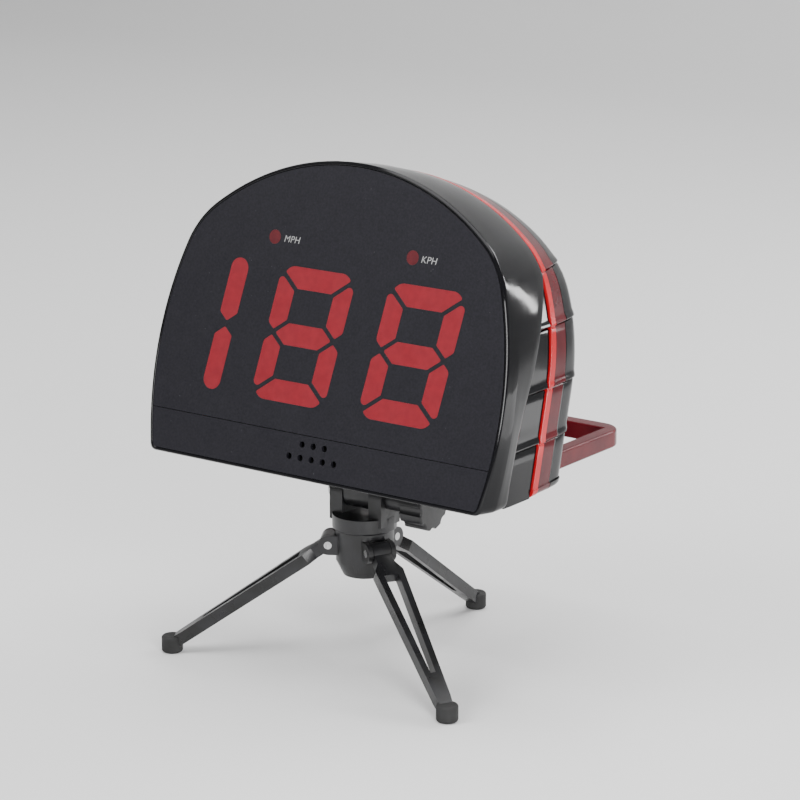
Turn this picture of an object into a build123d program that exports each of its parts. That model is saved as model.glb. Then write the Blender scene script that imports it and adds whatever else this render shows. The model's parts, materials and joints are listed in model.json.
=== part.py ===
"""Hands-free sports speed radar on a mini tripod, in millimetres, +Z up, display towards -Y.

The head is a dome-shaped housing that leans back. Its pieces are laid out in the panel's own
frame: s to the right, t up along the panel, and depth straight back from the panel's face.
"""
from build123d import *
import os
from math import acos, asin, atan2, cos, degrees, hypot, radians, sin, tan

# ---------------------------------------------------------------- driving dimensions
BASE_Z = 105.0            # height of the head's flat base above the ground
LEAN = 14.65              # how far the panel leans back from vertical, degrees
LEG_REACH = 100.0         # tripod axis to the centre of a foot
LEG_ANGLES = {"right": -30.0, "rear": 90.0, "left": 210.0}
AXIS_Y = -LEG_REACH * (1 - sin(radians(30))) / 2     # centres the whole object's box on Y
PANEL_Y = AXIS_Y - 46.0   # where the panel's reference line crosses y
PANEL_FOOT = -5.0         # t of the base at the panel's face

# outline of the panel: a long side arc, a shoulder arc and a crown arc, all tangent
SIDE_RADIUS = 191.0
SHOULDER_RADIUS = 45.0
CROWN_RADIUS = 130.0
WIDEST_T = 42.0
HALF_WIDTH = 106.5
CROWN_TOP = 153.0

# outline of the housing behind the bezel: straight sides, a long arc, a shoulder arc and a crown arc
BODY_HALF_WIDTH = 105.2
BODY_STRAIGHT_T = 60.0    # top of the straight sides
BODY_SIDE_RADIUS = 116.0
BODY_SHOULDER_T = 108.0   # where the side arc meets the shoulder arc
BODY_TOP = 154.5

# depths behind the panel's face
PANEL_SINK = 0.3
PANEL_BACK = 2.7
LEDGE_BACK = 4.9
FLANK_BACK = 20.0         # where the bezel's flank reaches the housing's outline
CREASE_DEPTH = 18.0       # bezel's rear edge low on the sides
MID_BACK = 39.4
BEAD_BACK = 44.0
RING_BACK = 55.5
SIDE_BACK = 65.0          # end of the rear cover's straight side
REAR_FACE = 69.0
WALL = 2.5
FLANK_GROW = 0.6          # bezel's hood, outside the housing's outline
FLANK_INNER = -2.0        # inner wall of the bezel's flank, from the panel's outline
HOOD_INNER = -2.2         # inner wall of the bezel's hood, from the housing's outline
INNER_GROW = -3.2         # inner wall of the shells, from the housing's outline
BEAD_GROW = 0.9           # the bead stands proud
RING_GROW = -0.5          # rear edge of the light ring
SIDE_GROW = -1.8          # outline at the end of the rear cover's side
REAR_GROW = -7.0          # outline of the flat rear face

# the bezel's rear edge sweeps back over the shoulders along this arc
CREASE_T = 10.0
CREASE_RADIUS = 260.0

# face panel
SEAM_T = 17.4
SEAM_GAP = 0.3
DIGIT_HEIGHT = 67.8
DIGIT_WIDTH = 46.2
DIGIT_MID_T = 65.2
DIGIT_PITCH = 66.5
ONES_S = 50.45
STROKE = 11.0
SEGMENT_GAP = 2.2
CUT_ANGLE = 38.5          # slope of the cuts between segments
SLANT = 0.126
INDICATOR_S = 42.2
INDICATOR_T = 112.0
INDICATOR_RADIUS = 3.6
SPEAKER_ROWS = [(12.7, 3), (6.0, 5)]      # t of the row, holes in it
SPEAKER_PITCH = 6.9
SPEAKER_HOLE = 1.65

# horizontal steps round the housing's side, as heights above the base
STEP_HEIGHTS = [26.0, 52.2, 80.8, 105.5]
STEP_HEIGHT = 2.2
STEP_DEPTH = 1.5

# battery bay and its door, in the rear face
CELL_RADIUS = 7.2
CELL_LENGTH = 50.5
BAY_MID_T = 50.0
BAY_WIDTH = 60.0
BAY_HEIGHT = 56.0
BAY_FRONT = 50.0
DOOR_WIDTH = 66.0
DOOR_HEIGHT = 62.0
DOOR_THICK = 2.2
DOOR_HINGE_T = 16.4
DOOR_HINGE_DEPTH = 71.4

# controls on the rear face
BUTTON_T = 106.0
BUTTONS = {"mode_button": -26.0, "power_button": 0.0, "unit_button": 26.0}
BUTTON_PROUD = 1.8
BUTTON_GAP = 0.3
POWER_RADIUS = 6.0
KEY_WIDTH = 17.0
KEY_HEIGHT = 9.0

# bail stand at the rear edge of the base
BAIL_ARM_S = 86.0
BAIL_ARM_WIDTH = 8.0
BAIL_BAR = 9.0
BAIL_LENGTH = 68.0
BAIL_PIN = 1.5
BAIL_HEIGHT = 5.2         # pivot above the base

# tripod
TILT_Z = 88.0
PLATFORM_BOTTOM = 97.0
PAD_BOTTOM = 103.5
PLATFORM_WIDTH = 57.0
PLATFORM_DEPTH = 40.0
WHEEL_RADIUS = 23.0
YOKE_TOP_RADIUS = 8.0
YOKE_FOOT_Z = 74.0
HUB_TOP = 70.0
HUB_BOTTOM = 46.0
HUB_RADIUS = 15.0
LEG_PIVOT_RADIUS = 18.0
LEG_PIVOT_Z = 62.0
LEG_THICK = 6.0
LEG_WIDTH = 15.0
LEG_TIP_WIDTH = 8.0
FOOT_RADIUS = 5.5
FOOT_HEIGHT = 9.0
SHAFT_GAP = 0.05          # radial running clearance of a pin
PLAY = 0.3                # clearance between neighbouring moving pieces

os.makedirs("parts", exist_ok=True)


def finish(piece, name):
    """Label a finished piece and write its STEP file."""
    piece.part.label = name
    export_step(piece.part, f"parts/{name}.step")


# ---------------------------------------------------------------- the head's own frame
PANEL_NORMAL = Vector(0, -cos(radians(LEAN)), sin(radians(LEAN)))
PANEL_ORIGIN = Vector(0, PANEL_Y, BASE_Z - PANEL_FOOT * cos(radians(LEAN)))


def head_plane(depth):
    """Plane parallel to the panel at a depth behind its face; x is s and y is t."""
    return Plane(origin=PANEL_ORIGIN - PANEL_NORMAL * depth, x_dir=(1, 0, 0), z_dir=PANEL_NORMAL)


def head_point(s, t, depth):
    """Position in the object's frame of a point given in the head's frame."""
    return head_plane(depth).from_local_coords(Vector(s, t, 0))


# centres of the arcs of the two outlines, right-hand side
SIDE_CENTRE = (HALF_WIDTH - SIDE_RADIUS, WIDEST_T)
CROWN_CENTRE = (0.0, CROWN_TOP - CROWN_RADIUS)
BODY_SIDE_CENTRE = (BODY_HALF_WIDTH - BODY_SIDE_RADIUS, BODY_STRAIGHT_T)
BODY_CROWN_CENTRE = (0.0, BODY_TOP - CROWN_RADIUS)


def shoulder_centre():
    """Centre of the panel's shoulder arc, which touches its side and crown arcs from inside."""
    to_side = SIDE_RADIUS - SHOULDER_RADIUS
    to_crown = CROWN_RADIUS - SHOULDER_RADIUS
    across = (CROWN_CENTRE[0] - SIDE_CENTRE[0], CROWN_CENTRE[1] - SIDE_CENTRE[1])
    between = hypot(*across)
    along = (to_side**2 - to_crown**2 + between**2) / (2 * between)
    turn = atan2(across[1], across[0]) + acos(along / to_side)
    return (SIDE_CENTRE[0] + to_side * cos(turn), SIDE_CENTRE[1] + to_side * sin(turn))


def body_shoulder():
    """Centre and radius of the housing's shoulder arc, which starts at BODY_SHOULDER_T."""
    turn = asin((BODY_SHOULDER_T - BODY_STRAIGHT_T) / BODY_SIDE_RADIUS)
    offset = (BODY_SIDE_CENTRE[0] - BODY_CROWN_CENTRE[0], BODY_SIDE_CENTRE[1] - BODY_CROWN_CENTRE[1])
    growth = CROWN_RADIUS - BODY_SIDE_RADIUS
    along = offset[0] * cos(turn) + offset[1] * sin(turn)
    reach = (hypot(*offset) ** 2 - growth**2) / (2 * (growth - along))
    centre = (BODY_SIDE_CENTRE[0] + reach * cos(turn), BODY_SIDE_CENTRE[1] + reach * sin(turn))
    return centre, BODY_SIDE_RADIUS - reach


SHOULDER_CENTRE = shoulder_centre()
BODY_SHOULDER_CENTRE, BODY_SHOULDER_RADIUS = body_shoulder()


def bearing(start, end):
    """Direction from one point to another, in degrees."""
    return degrees(atan2(end[1] - start[1], end[0] - start[0]))


def panel_profile(depth, grow, bottom=-12.0):
    """The panel's dome-shaped outline at a depth, grown outwards."""
    side_end = bearing(SIDE_CENTRE, SHOULDER_CENTRE)
    crown_start = bearing(CROWN_CENTRE, SHOULDER_CENTRE)
    side_start = degrees(asin((bottom - WIDEST_T) / (SIDE_RADIUS + grow)))
    with BuildSketch(head_plane(depth)) as profile:
        with BuildLine():
            side = CenterArc(SIDE_CENTRE, SIDE_RADIUS + grow, side_start, -side_start)
            CenterArc(SIDE_CENTRE, SIDE_RADIUS + grow, 0, side_end)
            CenterArc(SHOULDER_CENTRE, SHOULDER_RADIUS + grow, side_end, crown_start - side_end)
            CenterArc(CROWN_CENTRE, CROWN_RADIUS + grow, crown_start, 90 - crown_start)
            Line(side @ 0, (0, bottom))
            mirror(about=Plane.YZ)
        make_face()
    return profile.sketch


def body_profile(depth, grow, bottom=-12.0):
    """The housing's outline at a depth, grown outwards."""
    side_end = bearing(BODY_SIDE_CENTRE, BODY_SHOULDER_CENTRE)
    crown_start = bearing(BODY_CROWN_CENTRE, BODY_SHOULDER_CENTRE)
    edge = BODY_HALF_WIDTH + grow
    with BuildSketch(head_plane(depth)) as profile:
        with BuildLine():
            Line((0, bottom), (edge, bottom))
            Line((edge, bottom), (edge, BODY_STRAIGHT_T))
            CenterArc(BODY_SIDE_CENTRE, BODY_SIDE_RADIUS + grow, 0, side_end)
            shoulder_turn = crown_start - side_end
            CenterArc(BODY_SHOULDER_CENTRE, BODY_SHOULDER_RADIUS + grow, side_end, shoulder_turn)
            CenterArc(BODY_CROWN_CENTRE, CROWN_RADIUS + grow, crown_start, 90 - crown_start)
            mirror(about=Plane.YZ)
        make_face()
    return profile.sketch


def cut_prism(front_face, back_face, floor):
    """Solid between two parallel faces, cut off flat at a height above the base."""
    with BuildPart() as prism:
        loft([front_face, back_face], ruled=True)
        split(bisect_by=Plane.XY.offset(BASE_Z + floor), keep=Keep.TOP)
    return prism.part


def outline_foot(back):
    """How far below the panel's foot an outline starts, so that the base's plane cuts the whole solid."""
    return -back * tan(radians(LEAN)) - 12.0


def dome_prism(front, back, front_grow, back_grow, floor):
    """Solid with the housing's outline between two depths."""
    foot = outline_foot(back)
    return cut_prism(body_profile(front, front_grow, foot), body_profile(back, back_grow, foot), floor)


def panel_prism(front, back, grow, floor):
    """Solid with the panel's outline between two depths."""
    foot = outline_foot(back)
    return cut_prism(panel_profile(front, grow, foot), panel_profile(back, grow, foot), floor)


def flank_prism(front, back, front_grow, back_grow, floor):
    """Solid that runs from the panel's outline in front to the housing's outline behind."""
    foot = outline_foot(back)
    return cut_prism(panel_profile(front, front_grow, foot), body_profile(back, back_grow, foot), floor)


def behind_crease():
    """Everything behind the bezel's swept rear edge, as far back as the ring."""
    past = MID_BACK + 1.0
    turn = degrees(acos(1 - (past - CREASE_DEPTH) / CREASE_RADIUS))
    with BuildPart() as region:
        with BuildSketch(Plane(origin=PANEL_ORIGIN, x_dir=-PANEL_NORMAL, z_dir=(1, 0, 0))):
            with BuildLine():
                low = Line((past, -40), (CREASE_DEPTH, -40))
                edge = Line(low @ 1, (CREASE_DEPTH, CREASE_T))
                sweep_back = CenterArc((CREASE_DEPTH + CREASE_RADIUS, CREASE_T), CREASE_RADIUS, 180, -turn)
                Line(sweep_back @ 1, low @ 0)
            make_face()
        extrude(amount=130, both=True)
    return region.part


def head_block(width, height, centre, front, back):
    """Rectangular block in the head's frame."""
    with BuildPart() as block:
        with BuildSketch(head_plane(front)):
            with Locations(centre):
                Rectangle(width, height)
        extrude(amount=front - back)
    return block.part


def head_posts(radius, centres, front, back):
    """Round posts in the head's frame."""
    with BuildPart() as posts:
        with BuildSketch(head_plane(front)):
            with Locations(*centres):
                Circle(radius)
        extrude(amount=front - back)
    return posts.part


def cross_bar(radius, s_from, s_to, centre):
    """Round bar along X about an axis through a point."""
    with BuildPart() as bar:
        with BuildSketch(Plane(origin=(s_from, centre.Y, centre.Z), x_dir=(0, 1, 0), z_dir=(1, 0, 0))):
            Circle(radius)
        extrude(amount=s_to - s_from)
    return bar.part


# ---------------------------------------------------------------- digits
TIP_RADIUS = 0.9
FULL_ROUND = 5.4


def segment_outlines():
    """Corners of a digit's segments about its own centre, each with its rounding radius."""
    w = DIGIT_WIDTH / 2
    h = DIGIT_HEIGHT / 2
    slope = tan(radians(CUT_ANGLE))
    rise = SEGMENT_GAP / 2 / cos(radians(CUT_ANGLE))
    run = SEGMENT_GAP / 2 / sin(radians(CUT_ANGLE))
    inner = w - STROKE
    waist = inner + STROKE / 2 / slope
    chamfer = 6.0
    tip_x = (w + h - chamfer - (h - STROKE) - rise + inner * slope) / (1 + slope)
    top = [
        (run - inner, h - STROKE, TIP_RADIUS),
        (inner - run, h - STROKE, TIP_RADIUS),
        (tip_x, w + h - chamfer - tip_x, TIP_RADIUS),
        (w - chamfer, h, 6.5),
        (chamfer - w, h, 6.5),
        (-tip_x, w + h - chamfer - tip_x, TIP_RADIUS),
    ]
    upper = [
        (inner, h - STROKE - rise, TIP_RADIUS),
        (inner, STROKE / 2 + rise, TIP_RADIUS),
        (waist, rise, TIP_RADIUS),
        (w, rise + (w - waist) * slope, 3.0),
        (w, h - STROKE - rise + STROKE * slope, 2.3),
    ]
    middle = [(waist - run, 0, TIP_RADIUS)]
    for x, y in ((inner - run, 1), (run - inner, 1), (run - waist, 0), (run - inner, -1), (inner - run, -1)):
        middle.append((x, y * STROKE / 2, TIP_RADIUS))
    centre = w - STROKE / 2
    half = STROKE / 2
    one = [
        (centre - half, h, FULL_ROUND),
        (centre - half, rise + half * slope, 1.5),
        (centre, rise, 1.2),
        (centre + half, rise + half * slope, 1.5),
        (centre + half, h, FULL_ROUND),
    ]
    return {
        "top": top,
        "upper_right": upper,
        "lower_right": [(x, -y, r) for x, y, r in upper],
        "bottom": [(x, -y, r) for x, y, r in top],
        "lower_left": [(-x, -y, r) for x, y, r in upper],
        "upper_left": [(-x, y, r) for x, y, r in upper],
        "middle": middle,
        "one_upper": one,
        "one_lower": [(x, -y, r) for x, y, r in one],
    }


SEGMENTS = segment_outlines()
EIGHT = ["top", "upper_right", "lower_right", "bottom", "lower_left", "upper_left", "middle"]
DIGITS = {
    "hundreds": (ONES_S - 2 * DIGIT_PITCH, ["one_upper", "one_lower"]),
    "tens": (ONES_S - DIGIT_PITCH, EIGHT),
    "ones": (ONES_S, EIGHT),
}


def slanted(corners, centre_s):
    """A segment's corner points, slanted and moved to its digit's place on the panel."""
    return [(centre_s + x + SLANT * y, DIGIT_MID_T + y) for x, y, _ in corners]


def digit_solid(digit, front, back):
    """The segments of one digit, as separate solids between two depths."""
    centre_s, lit = DIGITS[digit]
    with BuildPart() as solid:
        with BuildSketch(head_plane(front)):
            for name in lit:
                radii = [corner[2] for corner in SEGMENTS[name]]
                with BuildLine():
                    FilletPolyline(*slanted(SEGMENTS[name], centre_s), radius=radii, close=True)
                make_face()
        extrude(amount=front - back)
    return solid.part


# ---------------------------------------------------------------- face of the head
INDICATORS = [(-INDICATOR_S, INDICATOR_T), (INDICATOR_S, INDICATOR_T)]
PANEL_GROW = -1.3

for digit_name in DIGITS:
    with BuildPart() as digit_segments:
        add(digit_solid(digit_name, PANEL_SINK, LEDGE_BACK))
    finish(digit_segments, f"digit_segments_{digit_name}")

with BuildPart() as display_panel:
    panel_face = panel_profile(PANEL_SINK, PANEL_GROW, SEAM_T + SEAM_GAP / 2)
    extrude(to_extrude=panel_face, amount=PANEL_SINK - PANEL_BACK)
    for digit_name in DIGITS:
        add(digit_solid(digit_name, PANEL_SINK, PANEL_BACK), mode=Mode.SUBTRACT)
    add(head_posts(INDICATOR_RADIUS, INDICATORS, PANEL_SINK, PANEL_BACK), mode=Mode.SUBTRACT)
finish(display_panel, "display_panel")

with BuildPart() as lower_fascia:
    extrude(to_extrude=panel_profile(PANEL_SINK, PANEL_GROW), amount=PANEL_SINK - PANEL_BACK)
    split(bisect_by=Plane.XY.offset(BASE_Z + 2.0), keep=Keep.TOP)
    above_seam = (0, SEAM_T - SEAM_GAP / 2 + 100)
    add(head_block(260, 200, above_seam, PANEL_SINK - 1, PANEL_BACK + 1), mode=Mode.SUBTRACT)
    for row_t, count in SPEAKER_ROWS:
        holes = [((index - (count - 1) / 2) * SPEAKER_PITCH, row_t) for index in range(count)]
        add(head_posts(SPEAKER_HOLE, holes, PANEL_SINK - 1, PANEL_BACK + 1), mode=Mode.SUBTRACT)
finish(lower_fascia, "lower_fascia")

with BuildPart() as unit_indicator_lenses:
    add(head_posts(INDICATOR_RADIUS, INDICATORS, PANEL_SINK, LEDGE_BACK))
finish(unit_indicator_lenses, "unit_indicator_lenses")

# ---------------------------------------------------------------- housing shells
REFLECTOR_BACK = 16.0
BOARD_THICK = 1.6
BOARD_SCREWS = [(-99.5, 45), (99.5, 45), (-83, 114), (83, 114)]
BEZEL_GROW = 0.8          # front edge of the bezel, outside the panel's outline
POCKET_GROW = PANEL_GROW + 0.15
LEDGE_GROW = -5.0

with BuildPart() as front_bezel:
    add(flank_prism(0, FLANK_BACK, BEZEL_GROW, FLANK_GROW, 0))
    front_edges = front_bezel.faces().sort_by(Axis(PANEL_ORIGIN, PANEL_NORMAL))[-1].edges()
    fillet(front_edges, radius=1.2)
    add(dome_prism(FLANK_BACK, MID_BACK, FLANK_GROW, FLANK_GROW, 0))
    add(panel_prism(-1, PANEL_BACK, POCKET_GROW, 1.8), mode=Mode.SUBTRACT)
    add(panel_prism(PANEL_BACK, LEDGE_BACK, LEDGE_GROW, 5.0), mode=Mode.SUBTRACT)
    add(flank_prism(LEDGE_BACK, FLANK_BACK, FLANK_INNER, HOOD_INNER, WALL), mode=Mode.SUBTRACT)
    add(dome_prism(FLANK_BACK, MID_BACK + 1, HOOD_INNER, HOOD_INNER, -5), mode=Mode.SUBTRACT)
    add(head_posts(3.0, BOARD_SCREWS, PANEL_BACK, REFLECTOR_BACK))
    add(head_posts(1.25, BOARD_SCREWS, REFLECTOR_BACK - 6, REFLECTOR_BACK + 1), mode=Mode.SUBTRACT)
    add(behind_crease(), mode=Mode.SUBTRACT)
finish(front_bezel, "front_bezel")


def step_cutter(front, back, front_grow, back_grow):
    """Horizontal slots round one shell, as deep as a step below its outer outline."""
    with BuildPart() as cutter:
        for height in STEP_HEIGHTS:
            with BuildSketch(Plane.XY.offset(BASE_Z + height - STEP_HEIGHT / 2)):
                with Locations((0, PANEL_Y + 60)):
                    Rectangle(260, 160)
            extrude(amount=STEP_HEIGHT)
        add(dome_prism(front, back, front_grow + 9, back_grow + 9, 0), mode=Mode.INTERSECT)
        core = dome_prism(front, back, front_grow - STEP_DEPTH, back_grow - STEP_DEPTH, -5)
        add(core, mode=Mode.SUBTRACT)
    return cutter.part


def shell(front, back, front_grow, back_grow, stepped):
    """Hollow length of the housing's side, with steps or without."""
    with BuildPart() as ring:
        add(dome_prism(front, back, front_grow, back_grow, 0))
        add(dome_prism(front, back, INNER_GROW, INNER_GROW, -5), mode=Mode.SUBTRACT)
        if stepped:
            add(step_cutter(front, back, front_grow, back_grow), mode=Mode.SUBTRACT)
    return ring.part


for side_name, side in (("left", -1), ("right", 1)):
    with BuildPart() as side_shell:
        add(shell(CREASE_DEPTH, MID_BACK, 0.0, 0.0, True))
        add(behind_crease(), mode=Mode.INTERSECT)
        split(bisect_by=Plane.YZ, keep=Keep.TOP if side > 0 else Keep.BOTTOM)
    finish(side_shell, f"{side_name}_side_shell")

with BuildPart() as ring_bead:
    add(shell(MID_BACK, BEAD_BACK, BEAD_GROW, BEAD_GROW - 0.2, False))
finish(ring_bead, "ring_bead")

with BuildPart() as light_ring:
    add(shell(BEAD_BACK, RING_BACK, 0.0, RING_GROW, True))
finish(light_ring, "light_ring")

DOOR_MID_T = BAY_MID_T
SCREWS = [(-70, 38), (70, 38), (-60, 108), (60, 108)]
SWITCH_BOARD_BACK = 60.0
SWITCH_BOARD_POSTS = [(-40, 97), (40, 97), (-40, 115), (40, 115)]
HINGE_LUGS = [-28.5, 28.5]
BAIL_LUG_WIDTH = 4.0
BAIL_LUG_S = BAIL_ARM_S - BAIL_ARM_WIDTH / 2 - PLAY - BAIL_LUG_WIDTH / 2
PIVOT_OFFSET = BAIL_BAR / 2 + 1.0
BAIL_DEPTH = REAR_FACE + PIVOT_OFFSET
BAIL_T = PANEL_FOOT + (BAIL_HEIGHT + BAIL_DEPTH * sin(radians(LEAN))) / cos(radians(LEAN))
BAIL_PIVOT = head_point(0, BAIL_T, REAR_FACE + PIVOT_OFFSET)
DOOR_PIVOT = head_point(0, DOOR_HINGE_T, DOOR_HINGE_DEPTH)
DOOR_PIN = 1.0
TILT_AXIS = Vector(0, AXIS_Y, TILT_Z)


def button_post(name, grow, front, back):
    """A button's round or pill-shaped outline, grown, between two depths."""
    with BuildPart() as post:
        with BuildSketch(head_plane(front)):
            with Locations((BUTTONS[name], BUTTON_T)):
                if name == "power_button":
                    Circle(POWER_RADIUS + grow)
                else:
                    SlotOverall(KEY_WIDTH + 2 * grow, KEY_HEIGHT + 2 * grow)
        extrude(amount=front - back)
    return post.part


INNER_SIDE_BACK = SIDE_BACK - 1.0
INNER_BACK = REAR_FACE - WALL
DOOR_GAP = 0.4
SCREW_RECESS = 1.8
SCREW_HEAD_RADIUS = 3.0
SCREW_SHANK_RADIUS = 1.5
SCREW_START = RING_BACK - 6.0

with BuildPart() as rear_cover:
    add(dome_prism(RING_BACK, SIDE_BACK, RING_GROW, SIDE_GROW, 0))
    add(step_cutter(RING_BACK, SIDE_BACK, RING_GROW, SIDE_GROW), mode=Mode.SUBTRACT)
    add(dome_prism(SIDE_BACK, REAR_FACE, SIDE_GROW, REAR_GROW, 0))
    inner_side = SIDE_GROW + INNER_GROW
    add(dome_prism(RING_BACK, INNER_SIDE_BACK, INNER_GROW, inner_side, -5), mode=Mode.SUBTRACT)
    add(dome_prism(INNER_SIDE_BACK, INNER_BACK, inner_side, REAR_GROW + INNER_GROW, -5), mode=Mode.SUBTRACT)
    add(head_posts(2.2, SWITCH_BOARD_POSTS, SWITCH_BOARD_BACK, INNER_BACK))
    add(head_posts(3.6, SCREWS, SCREW_START, INNER_BACK))
    shanks = head_posts(SCREW_SHANK_RADIUS + SHAFT_GAP, SCREWS, SCREW_START - 1, REAR_FACE + 1)
    heads = head_posts(SCREW_HEAD_RADIUS + 0.1, SCREWS, REAR_FACE - SCREW_RECESS, REAR_FACE + 1)
    add([shanks, heads], mode=Mode.SUBTRACT)
    doorway = (DOOR_WIDTH + 2 * DOOR_GAP, DOOR_HEIGHT + 2 * DOOR_GAP)
    add(head_block(*doorway, (0, DOOR_MID_T), INNER_BACK - 1, REAR_FACE + 1), mode=Mode.SUBTRACT)
    for button_name in BUTTONS:
        add(button_post(button_name, BUTTON_GAP, INNER_BACK - 1, REAR_FACE + 1), mode=Mode.SUBTRACT)
    for lug_s in HINGE_LUGS:
        add(head_block(4.0, 4.0, (lug_s, DOOR_HINGE_T), REAR_FACE - 0.5, DOOR_HINGE_DEPTH + 2.2))
    add(cross_bar(DOOR_PIN, -32, 32, DOOR_PIVOT), mode=Mode.SUBTRACT)
    for side in (-1, 1):
        lug_centre = (side * BAIL_LUG_S, BAIL_T)
        add(head_block(BAIL_LUG_WIDTH, 9.0, lug_centre, REAR_FACE - 0.5, BAIL_DEPTH + 3.0))
    add(cross_bar(BAIL_PIN, -BAIL_ARM_S, BAIL_ARM_S, BAIL_PIVOT), mode=Mode.SUBTRACT)
finish(rear_cover, "rear_cover")

# ---------------------------------------------------------------- base of the head
INSERT_RADIUS = 6.0
INSERT_TOP = BASE_Z + 9.0
SCREW_RADIUS = 3.1
BASE_THICK = 3.0

with BuildPart() as base_plate:
    fitted = INNER_GROW - 0.1
    add(dome_prism(CREASE_DEPTH + 0.1, RING_BACK, fitted, fitted, 0))
    add(dome_prism(RING_BACK, INNER_SIDE_BACK, fitted, inner_side - 0.1, 0))
    add(dome_prism(INNER_SIDE_BACK, INNER_BACK - 0.2, inner_side - 0.1, REAR_GROW + INNER_GROW - 0.2, 0))
    with BuildSketch(Plane.XY.offset(BASE_Z)):
        with Locations((0, PANEL_Y + 60)):
            Rectangle(260, 200)
    extrude(amount=BASE_THICK, mode=Mode.INTERSECT)
    with BuildSketch(Plane.XY.offset(BASE_Z + BASE_THICK)):
        with Locations((0, AXIS_Y)):
            Circle(INSERT_RADIUS + 3.0)
    extrude(amount=INSERT_TOP - BASE_Z - BASE_THICK)
    with BuildSketch(Plane.XY.offset(BASE_Z)):
        with Locations((0, AXIS_Y)):
            Circle(INSERT_RADIUS)
    extrude(amount=INSERT_TOP - BASE_Z, mode=Mode.SUBTRACT)
finish(base_plate, "base_plate")

with BuildPart() as tripod_insert:
    with BuildSketch(Plane.XY.offset(BASE_Z)):
        with Locations((0, AXIS_Y)):
            Circle(INSERT_RADIUS)
            Circle(SCREW_RADIUS + SHAFT_GAP, mode=Mode.SUBTRACT)
    extrude(amount=INSERT_TOP - BASE_Z)
finish(tripod_insert, "tripod_insert")

with BuildPart() as base_feet:
    with BuildSketch(Plane.XY.offset(BASE_Z)):
        with Locations((-78, PANEL_Y + 34), (78, PANEL_Y + 34), (-78, PANEL_Y + 60), (78, PANEL_Y + 60)):
            Circle(5.0)
    extrude(amount=-1.4)
    fillet(base_feet.faces().sort_by(Axis.Z)[:4].edges(), radius=0.5)
finish(base_feet, "base_feet")

# ---------------------------------------------------------------- display and radar boards
REFLECTOR_FRONT = LEDGE_BACK
DISPLAY_BOARD_BACK = REFLECTOR_BACK + BOARD_THICK
LED_SIZE = 3.2
LED_HEIGHT = 1.9
RADAR_FRONT = 8.0
RADAR_T = 127.0
RADAR_POSTS = [(-20, 116), (20, 116), (-20, 138), (20, 138)]
MAIN_BOARD_FRONT = 25.0
MAIN_POSTS = [(-48, 42), (48, 42), (-48, 92), (48, 92)]

with BuildPart() as segment_reflector:
    add(head_block(160, 76, (0, DIGIT_MID_T), REFLECTOR_FRONT, REFLECTOR_BACK))
    for digit_name in DIGITS:
        add(digit_solid(digit_name, REFLECTOR_FRONT, REFLECTOR_BACK), mode=Mode.SUBTRACT)
finish(segment_reflector, "segment_reflector")

with BuildPart() as display_board:
    extrude(to_extrude=panel_profile(REFLECTOR_BACK, -4.5, 22.0), amount=-BOARD_THICK)
    add(head_posts(1.25, BOARD_SCREWS, REFLECTOR_BACK - 1, DISPLAY_BOARD_BACK + 1), mode=Mode.SUBTRACT)
finish(display_board, "display_board")

with BuildPart() as board_screws:
    add(head_posts(1.2, BOARD_SCREWS, REFLECTOR_BACK - 5, DISPLAY_BOARD_BACK))
    add(head_posts(2.4, BOARD_SCREWS, DISPLAY_BOARD_BACK, DISPLAY_BOARD_BACK + 1.6))
    for screw_s, screw_t in BOARD_SCREWS:
        for width, height in ((3.0, 0.6), (0.6, 3.0)):
            slot_front = DISPLAY_BOARD_BACK + 0.9
            add(head_block(width, height, (screw_s, screw_t), slot_front, slot_front + 1), mode=Mode.SUBTRACT)
finish(board_screws, "board_screws")

with BuildPart() as segment_leds:
    for digit_name in DIGITS:
        centre_s, lit = DIGITS[digit_name]
        for segment in lit:
            corners = slanted(SEGMENTS[segment], centre_s)
            middle = tuple(sum(axis) / len(corners) for axis in zip(*corners))
            add(head_block(LED_SIZE, LED_SIZE, middle, REFLECTOR_BACK - LED_HEIGHT, REFLECTOR_BACK))
finish(segment_leds, "segment_leds")

with BuildPart() as radar_board:
    add(head_block(48, 30, (0, RADAR_T), RADAR_FRONT, RADAR_FRONT + BOARD_THICK))
finish(radar_board, "radar_board")

with BuildPart() as antenna_patches:
    with BuildSketch(head_plane(RADAR_FRONT)):
        with Locations((0, RADAR_T)):
            with GridLocations(10, 8, 4, 3):
                Rectangle(4.6, 3.6)
    extrude(amount=0.2)
finish(antenna_patches, "antenna_patches")

with BuildPart() as radar_spacers:
    add(head_posts(2.0, RADAR_POSTS, RADAR_FRONT + BOARD_THICK, REFLECTOR_BACK))
finish(radar_spacers, "radar_spacers")

with BuildPart() as radar_shield:
    add(head_block(30, 16, (0, RADAR_T), RADAR_FRONT + BOARD_THICK, RADAR_FRONT + BOARD_THICK + 4))
    inside = head_block(28.8, 14.8, (0, RADAR_T), RADAR_FRONT + BOARD_THICK, RADAR_FRONT + BOARD_THICK + 3.4)
    add(inside, mode=Mode.SUBTRACT)
finish(radar_shield, "radar_shield")

with BuildPart() as main_board_spacers:
    add(head_posts(2.5, MAIN_POSTS, DISPLAY_BOARD_BACK, MAIN_BOARD_FRONT))
finish(main_board_spacers, "main_board_spacers")

with BuildPart() as main_board:
    add(head_block(110, 62, (0, 67), MAIN_BOARD_FRONT, MAIN_BOARD_FRONT + BOARD_THICK))
finish(main_board, "main_board")

# width, height, s, t and rise of the parts on the main board
CHIPS = [
    (14, 14, -30, 72, 1.6),
    (10, 10, 0, 58, 1.2),
    (8, 5, 24, 78, 1.5),
    (9, 9, 30, 54, 8.0),
    (6, 6, -34, 50, 6.0),
]
with BuildPart() as board_chips:
    for width, height, chip_s, chip_t, rise in CHIPS:
        back = MAIN_BOARD_FRONT + BOARD_THICK
        add(head_block(width, height, (chip_s, chip_t), back, back + rise))
finish(board_chips, "board_chips")

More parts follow.
